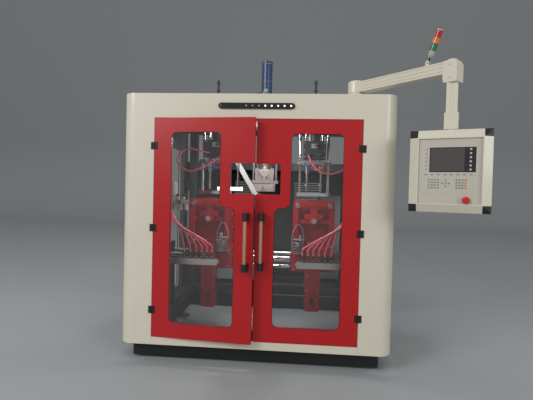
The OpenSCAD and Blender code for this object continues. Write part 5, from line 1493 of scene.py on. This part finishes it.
class MachineRoom(Assembly):
    """Hydraulic unit, switchgear, water and air."""

    sizes = RoomSizes()
    PIPE = ((-0.53, 2.640, 0.80), (-0.53, 2.600, 0.80), (-0.50, 2.570, 0.80), (-0.43, 2.560, 0.76),
            (-0.38, 2.560, 0.73))

    def build(self) -> None:
        """Paints the units and adds their fittings."""
        s = self.sizes
        near, far = s.module_x

        def modules(c: np.ndarray, n: np.ndarray) -> np.ndarray:
            """Marks the plug-in modules on the mounting plate."""
            deep = np.abs(c[:, 1] - M.depth(s.module_depth)) < s.module_reach
            return (c[:, 0] > near) & (c[:, 0] < far) & deep

        self.paint("hydraulic_unit", Finish.GREY, (Finish.DARK, lambda c, n: c[:, 2] > s.lid))
        self.paint("control_cabinet", Finish.GREY, (Finish.BLACK_PLASTIC, modules))
        self.paint("water_manifolds", Finish.ALUMINIUM,
                   (Finish.DARK, lambda c, n: (np.abs(c[:, 0]) > s.bar_end) | (c[:, 2] > s.bar_top)))
        self.paint("water_hoses", Finish.RED_HOSE)
        self.paint("air_unit", Finish.GREY_PLASTIC, (Finish.PALE_PLASTIC, lambda c, n: c[:, 2] > s.cover_z))
        self.water_and_air()
        self.hydraulics()
        self.switchgear()

    def water_and_air(self) -> None:
        """Nuts, sleeves and plugs of the manifolds; knobs, gauges, bowls and couplings of the air unit."""
        s, y = self.sizes, M.depth(250)
        rows = []
        for side in SIDES:
            for x in s.hose_xs:
                rows += [(hex_bolt(0.022), side * x, y, 0.905),
                         (collar(0.0115, 0.0085, 0.016), side * x, y, 0.958)]
            rows += [(hex_bolt(0.030), side * 0.368, y, s.bar_z, (-side, 0, 0), Finish.BRASS),
                     (cap_screw(0.006), (side * 0.39, side * 0.73), y - 0.025, s.bar_z, FRONT)]
        Piece("manifold_fittings", "machine", Finish.STEEL, rows).build()
        y = M.depth(450)
        knob = lathe([(0.014, 0.0), (0.016, 0.004), (0.016, 0.022), (0.013, 0.026)], 16)
        gauge = lathe([(0.021, 0.0), (0.021, 0.012), (0.019, 0.015), (0.018, 0.012)])
        bowl = lathe([(0.020, 0.0), (0.023, 0.010), (0.023, 0.05), (0.018, 0.055)], 20)
        coupling = lathe([(0.009, 0.0), (0.009, 0.010), (0.0065, 0.011), (0.0065, 0.025)], 12)
        Piece("air_fittings", "machine", Finish.STEEL, [
            (knob, (-0.820, -0.760), y, 1.470, UP, Finish.BLACK_PLASTIC),
            (gauge, (-0.90, -0.79), y - 0.025, 1.42, FRONT),
            (bowl, (-0.85, -0.735), y, 1.285, UP, Finish.PANE),
            (coupling, -0.712, y, 1.42, (1, 0, 0), Finish.BRASS),
            (coupling, -0.712, y + 0.015, 1.41, (1, 0, 0), Finish.BRASS)]).build()

    def hydraulics(self) -> None:
        """Filler, valve coils, pipe, gauge and level glass on the hydraulic unit."""
        filler = lathe([(0.035, 0.0), (0.035, 0.01), (0.028, 0.012), (0.028, 0.05), (0.034, 0.052),
                        (0.034, 0.075), (0.026, 0.08)], 24)
        coil = lathe([(0.019, 0.0), (0.021, 0.004), (0.021, 0.055), (0.015, 0.060)], 18)
        gauge = lathe([(0.03, 0.0), (0.03, 0.018), (0.027, 0.021), (0.026, 0.017)])
        valves = M.depths(2580, 2720, 2860, 3000)
        piece = Piece("hydraulic_details", "machine", Finish.STEEL, [
            (filler, -0.76, M.depth(2420), 0.646, UP, Finish.BLACK_PLASTIC),
            (coil, -0.37, valves, 0.85, (-1, 0, 0), Finish.BLACK_PLASTIC),
            (coil, -0.25, valves, 0.85, (1, 0, 0), Finish.BLACK_PLASTIC)])
        piece.hose(self.PIPE, 0.014, (0.0, M.front, 0.0), Finish.BLACK_HOSE, sides=12)
        piece.put(gauge, -0.31, M.depth(2500), 0.72, FRONT)
        piece.put(block((0.026, 0.02, 0.16), 0.004), -0.64, M.depth(2290), 0.48, UP, Finish.PANE).build()

    def switchgear(self) -> None:
        """Rows of small devices in the cabinet, with wiring ducts between."""
        s = self.sizes
        ys = np.arange(M.depth(2680), M.depth(3300), s.device_pitch)
        Piece("switchgear", "machine", Finish.GREY_PLASTIC, [
            (block((0.012, 0.034, 0.085), 0.002), 0.776, ys, s.device_zs, UP, Finish.KEY),
            (block((0.008, 0.010, 0.018), 0.002), 0.786, ys, np.add(s.device_zs, 0.008), UP,
             Finish.BLACK_PLASTIC),
            (block((0.05, 0.70, 0.05), 0.003), 0.73, M.depth(s.module_depth), (0.36, 0.66, 1.0))]).build()


def on_arm(points: Iterable[Vec]) -> np.ndarray:
    """Takes arm coordinates, with X from the pivot to the elbow, to the row frame."""
    return swung(points, -M.arm_angle, M.arm)


class PanelPiece(Piece):
    """A piece of the control panel in the panel's own frame, with Z up from its underside."""

    def add(self, shape: Shape, places: Iterable = ORIGIN, towards: Vec = UP,
            finish: Finish | None = None) -> Piece:
        """Adds one shape, once or at several places of the panel.

        Args:
            shape: the shape.
            places: where its origin goes, as one place or as one row for each.
            towards: where its +Z points.
            finish: its finish, unless it is the piece's own.

        Returns:
            The piece itself.
        """
        axis = on_arm([(M.arm_length, 0.0, M.panel_z)])[0]
        for place in np.atleast_2d(places):
            points = swung(shape.turned(towards).points + place, -M.panel_angle, axis)
            super().add(Shape(points, shape.faces), finish=finish)
        return self


@dataclass(frozen=True)
class KeyBlock:
    """A grid of key caps: the size of a cap, the lower left one, the steps and counts in X and Z."""

    cap: tuple[float, float]
    first: tuple[float, float]
    pitch: tuple[float, float] = (0.0, 0.0)
    count: tuple[int, int] = (1, 1)
    last: Finish = Finish.GREY


@dataclass(frozen=True)
class PanelSizes:
    """Sizes on the control panel, in its own frame, and on its arm."""

    width: float = 0.568
    height: float = 0.620
    back: float = 0.090
    # Height of the face's lower edge, from which the keys count.
    base: float = 0.0675
    face: float = -0.079
    key_seat: float = 0.0024
    pad_seat: float = 0.0027
    pad_reach: float = 0.024
    screen_x: tuple[float, float] = (-0.140, 0.176)
    screen_z: tuple[float, float] = (0.3005, 0.4875)
    corner: float = 0.030
    # The tower's lean, and how far up its axis the ribs sit.
    lean: float = math.radians(21.0)
    ribs: tuple[float, ...] = (0.096, 0.1445, 0.1945, 0.2445)


class ControlStation(Assembly):
    """Arm, drop tube, control panel and signal tower."""

    sizes = PanelSizes()
    ARROWS = (-0.024, 0.152)
    KEYS = (KeyBlock((0.012, 0.009), (-0.1385, 0.118), (0.021, 0.020), (4, 4)),
            KeyBlock((0.0115, 0.0115), (0.051, 0.117), (0.020, 0.020), (4, 4), Finish.ORANGE_KEY),
            KeyBlock((0.0175, 0.007), (-0.162, 0.2165), (0.044, 0.0), (8, 1)),
            KeyBlock((0.0115, 0.007), (-0.161, 0.2545), (0.0, 0.030), (1, 6)),
            KeyBlock((0.0115, 0.007), ARROWS))
    # Finish, foot and top of each tier along the tower's axis.
    TIERS = ((Finish.GREEN_LENS, 0.0965, 0.1425), (Finish.AMBER_LENS, 0.1465, 0.1925),
             (Finish.RED_LENS, 0.1965, 0.2425), (Finish.PALE_PLASTIC, 0.2425, 0.27),
             (Finish.BLACK_PLASTIC, -0.05, 0.037))
    TOWER_CABLE = ((0.706, 0.006, 2.624), (0.690, 0.020, 2.616), (0.670, 0.026, 2.584), (0.655, 0.022, 2.564),
                   (0.640, 0.018, 2.558))

    def build(self) -> None:
        """Paints the arm and the panel and adds keys, screen and lamps."""
        self.paint_all({"arm_pedestal": Finish.CREAM, "swing_arm": Finish.CREAM, "drop_tube": Finish.CREAM,
                        "panel_housing": Finish.CREAM, "panel_corners": Finish.BLACK_PLASTIC,
                        "panel_face": Finish.PALE_PLASTIC, "emergency_stop": Finish.RED_PLASTIC})
        self.tower()
        self.keys()
        self.screen()
        self.panel_details()
        self.arm_details()

    def tower(self) -> None:
        """Paints the tiers along the leaning axis of the tower and adds a rib between each two."""
        s = self.sizes
        lean = (M.tower_x + math.sin(s.lean), 0.0, M.tower_z + math.cos(s.lean))
        pivot, tip = on_arm([(M.tower_x, 0.0, M.tower_z), lean])
        axis = tip - pivot

        def tier(low: float, high: float) -> Finder:
            """Marks the faces between two heights along the axis."""
            return lambda c, n: ((c - pivot) @ axis > low) & ((c - pivot) @ axis < high)

        self.paint("signal_tower", Finish.GREY_PLASTIC,
                   *((finish, tier(low, high)) for finish, low, high in self.TIERS))
        ribs = Piece("tower_ribs", "beacon", Finish.GREY_PLASTIC)
        places = pivot + np.outer(s.ribs, axis)
        ribs.add(ring(0.0262, 0.0014, 40, 6), places, axis, Finish.BLACK_PLASTIC).build()

    def keys(self) -> None:
        """Key caps in their blocks, and four arrow pads round a cap."""
        s = self.sizes
        piece = PanelPiece("panel_keys", "control_panel", Finish.PALE_PLASTIC)
        for keys in self.KEYS:
            cap = block((*keys.cap, 0.003))
            for i, k in np.ndindex(keys.count):
                x, z = np.array(keys.first) + (i * keys.pitch[0], k * keys.pitch[1])
                finish = keys.last if i == keys.count[0] - 1 else Finish.GREY
                piece.put(cap, x, s.face - s.key_seat, s.base + z, FRONT, finish)
        arrow = prism([(-0.008, -0.006), (0.008, -0.006), (0.0, 0.007)], 0.0012)
        for a in around(4):
            pad = Shape(swung(arrow.points, a, ORIGIN), arrow.faces)
            x, z = np.array(self.ARROWS) + (-s.pad_reach * math.sin(a), s.pad_reach * math.cos(a))
            piece.put(pad, x, s.face - s.pad_seat, s.base + z, FRONT, Finish.GREY)
        piece.build()

    def screen(self) -> None:
        """The dark display in its frame, with the column of six pale round keys on its right."""
        s = self.sizes
        (x0, x1), (z0, z1) = s.screen_x, s.screen_z
        x, z = (x0 + x1) / 2.0, (z0 + z1) / 2.0
        frame = block((x1 - x0 - 0.002, z1 - z0 - 0.002, 0.002), 0.0005)
        glass = block((x1 - x0 - 0.086, z1 - z0 - 0.016, 0.001), 0.0003)
        button = lathe([(0.0078, 0.0), (0.0078, 0.0012), (0.006, 0.0022), (0.003, 0.0026)], 20)
        PanelPiece("panel_screen", "control_panel", Finish.BLACK_PLASTIC, [
            (frame, x, s.face, z, FRONT),
            (glass, x - 0.034, s.face - 0.002, z, FRONT, Finish.SCREEN),
            (button, 0.140, s.face - 0.0019, z0 + 0.020 + 0.030 * np.arange(6), FRONT, Finish.DOT_DIM),
        ]).build()

    def panel_details(self) -> None:
        """Screws at the corners, vents and glands at the back."""
        s = self.sizes
        edge = s.width / 2.0 - s.corner
        gland = lathe([(0.013, 0.0), (0.013, 0.010), (0.011, 0.012), (0.011, 0.022), (0.008, 0.028)], 14)
        rows = [(cap_screw(0.006), side * edge, 0.017 - s.back, z, (side * 0.25, -1, tilt))
                for side in SIDES for z, tilt in ((s.corner, -0.25), (s.height - s.corner, 0.25))]
        rows += [(block((0.16, 0.006, 0.004)), -0.12, s.back + 0.0005, 0.20 + 0.016 * np.arange(7), BACK),
                 (gland, (-0.05, 0.0, 0.05), s.back, 0.060, BACK)]
        piece = PanelPiece("panel_details", "control_panel", Finish.STEEL)
        for row in rows:
            piece.put(*row, Finish.BLACK_PLASTIC)
        piece.build(0.0006)

    def arm_details(self) -> None:
        """Screws and pins along the arm, the tower's cable, and bolts round the pedestal."""
        piece = Piece("arm_details", "panel_arm", Finish.STEEL)
        piece.add(cap_screw(0.006), on_arm(bolt_circle((0.0, 0.0, 2.5718), 0.050, 4)))
        piece.add(cap_screw(0.004), on_arm(spots((0.676, 0.724), (-0.014, 0.014), 2.562)))
        ends = on_arm(spots(M.tower_x, (-0.0145, 0.0145), M.tower_z))
        for end, other in (ends, ends[::-1]):
            piece.add(lathe([(0.009, 0.0), (0.009, 0.003), (0.007, 0.005)], 6), end, end - other)
        piece.add(tube(on_arm(smooth_route(self.TOWER_CABLE)), 0.0032, 8), finish=Finish.BLACK_HOSE)
        for side in SIDES:
            foot, out = on_arm([ORIGIN, (0.0, side, 0.0)])
            piece.add(cap_screw(0.006), on_arm(spots(M.arm_length, side * 0.0545, (2.43, 2.53))), out - foot)
        piece.build()
        places = bolt_circle((*M.arm[:2], Node("roof_panel").high[2] + 0.010), 0.111, 6, 22.0)
        Piece("pedestal_bolts", "machine", Finish.STEEL).add(hex_bolt(0.010), places).build()


def main() -> None:
    """Builds the whole scene around the frame."""
    logging.basicConfig(level=logging.INFO, format="%(name)s: %(message)s")
    studio = Studio()
    studio.camera()
    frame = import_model()
    studio.light()
    studio.floor()
    parts: list[Assembly] = [Enclosure(frame)]
    parts += [kind(frame, side) for kind in (FrontDoor, Station, BlowingUnit) for side in Side]
    parts += [kind(frame) for kind in (HeadUnit, ExtruderUnit, MachineRoom, ControlStation)]
    for part in parts:
        part.build()
        LOG.info("dressed %s", type(part).__name__)


if __name__ == "__main__":
    main()
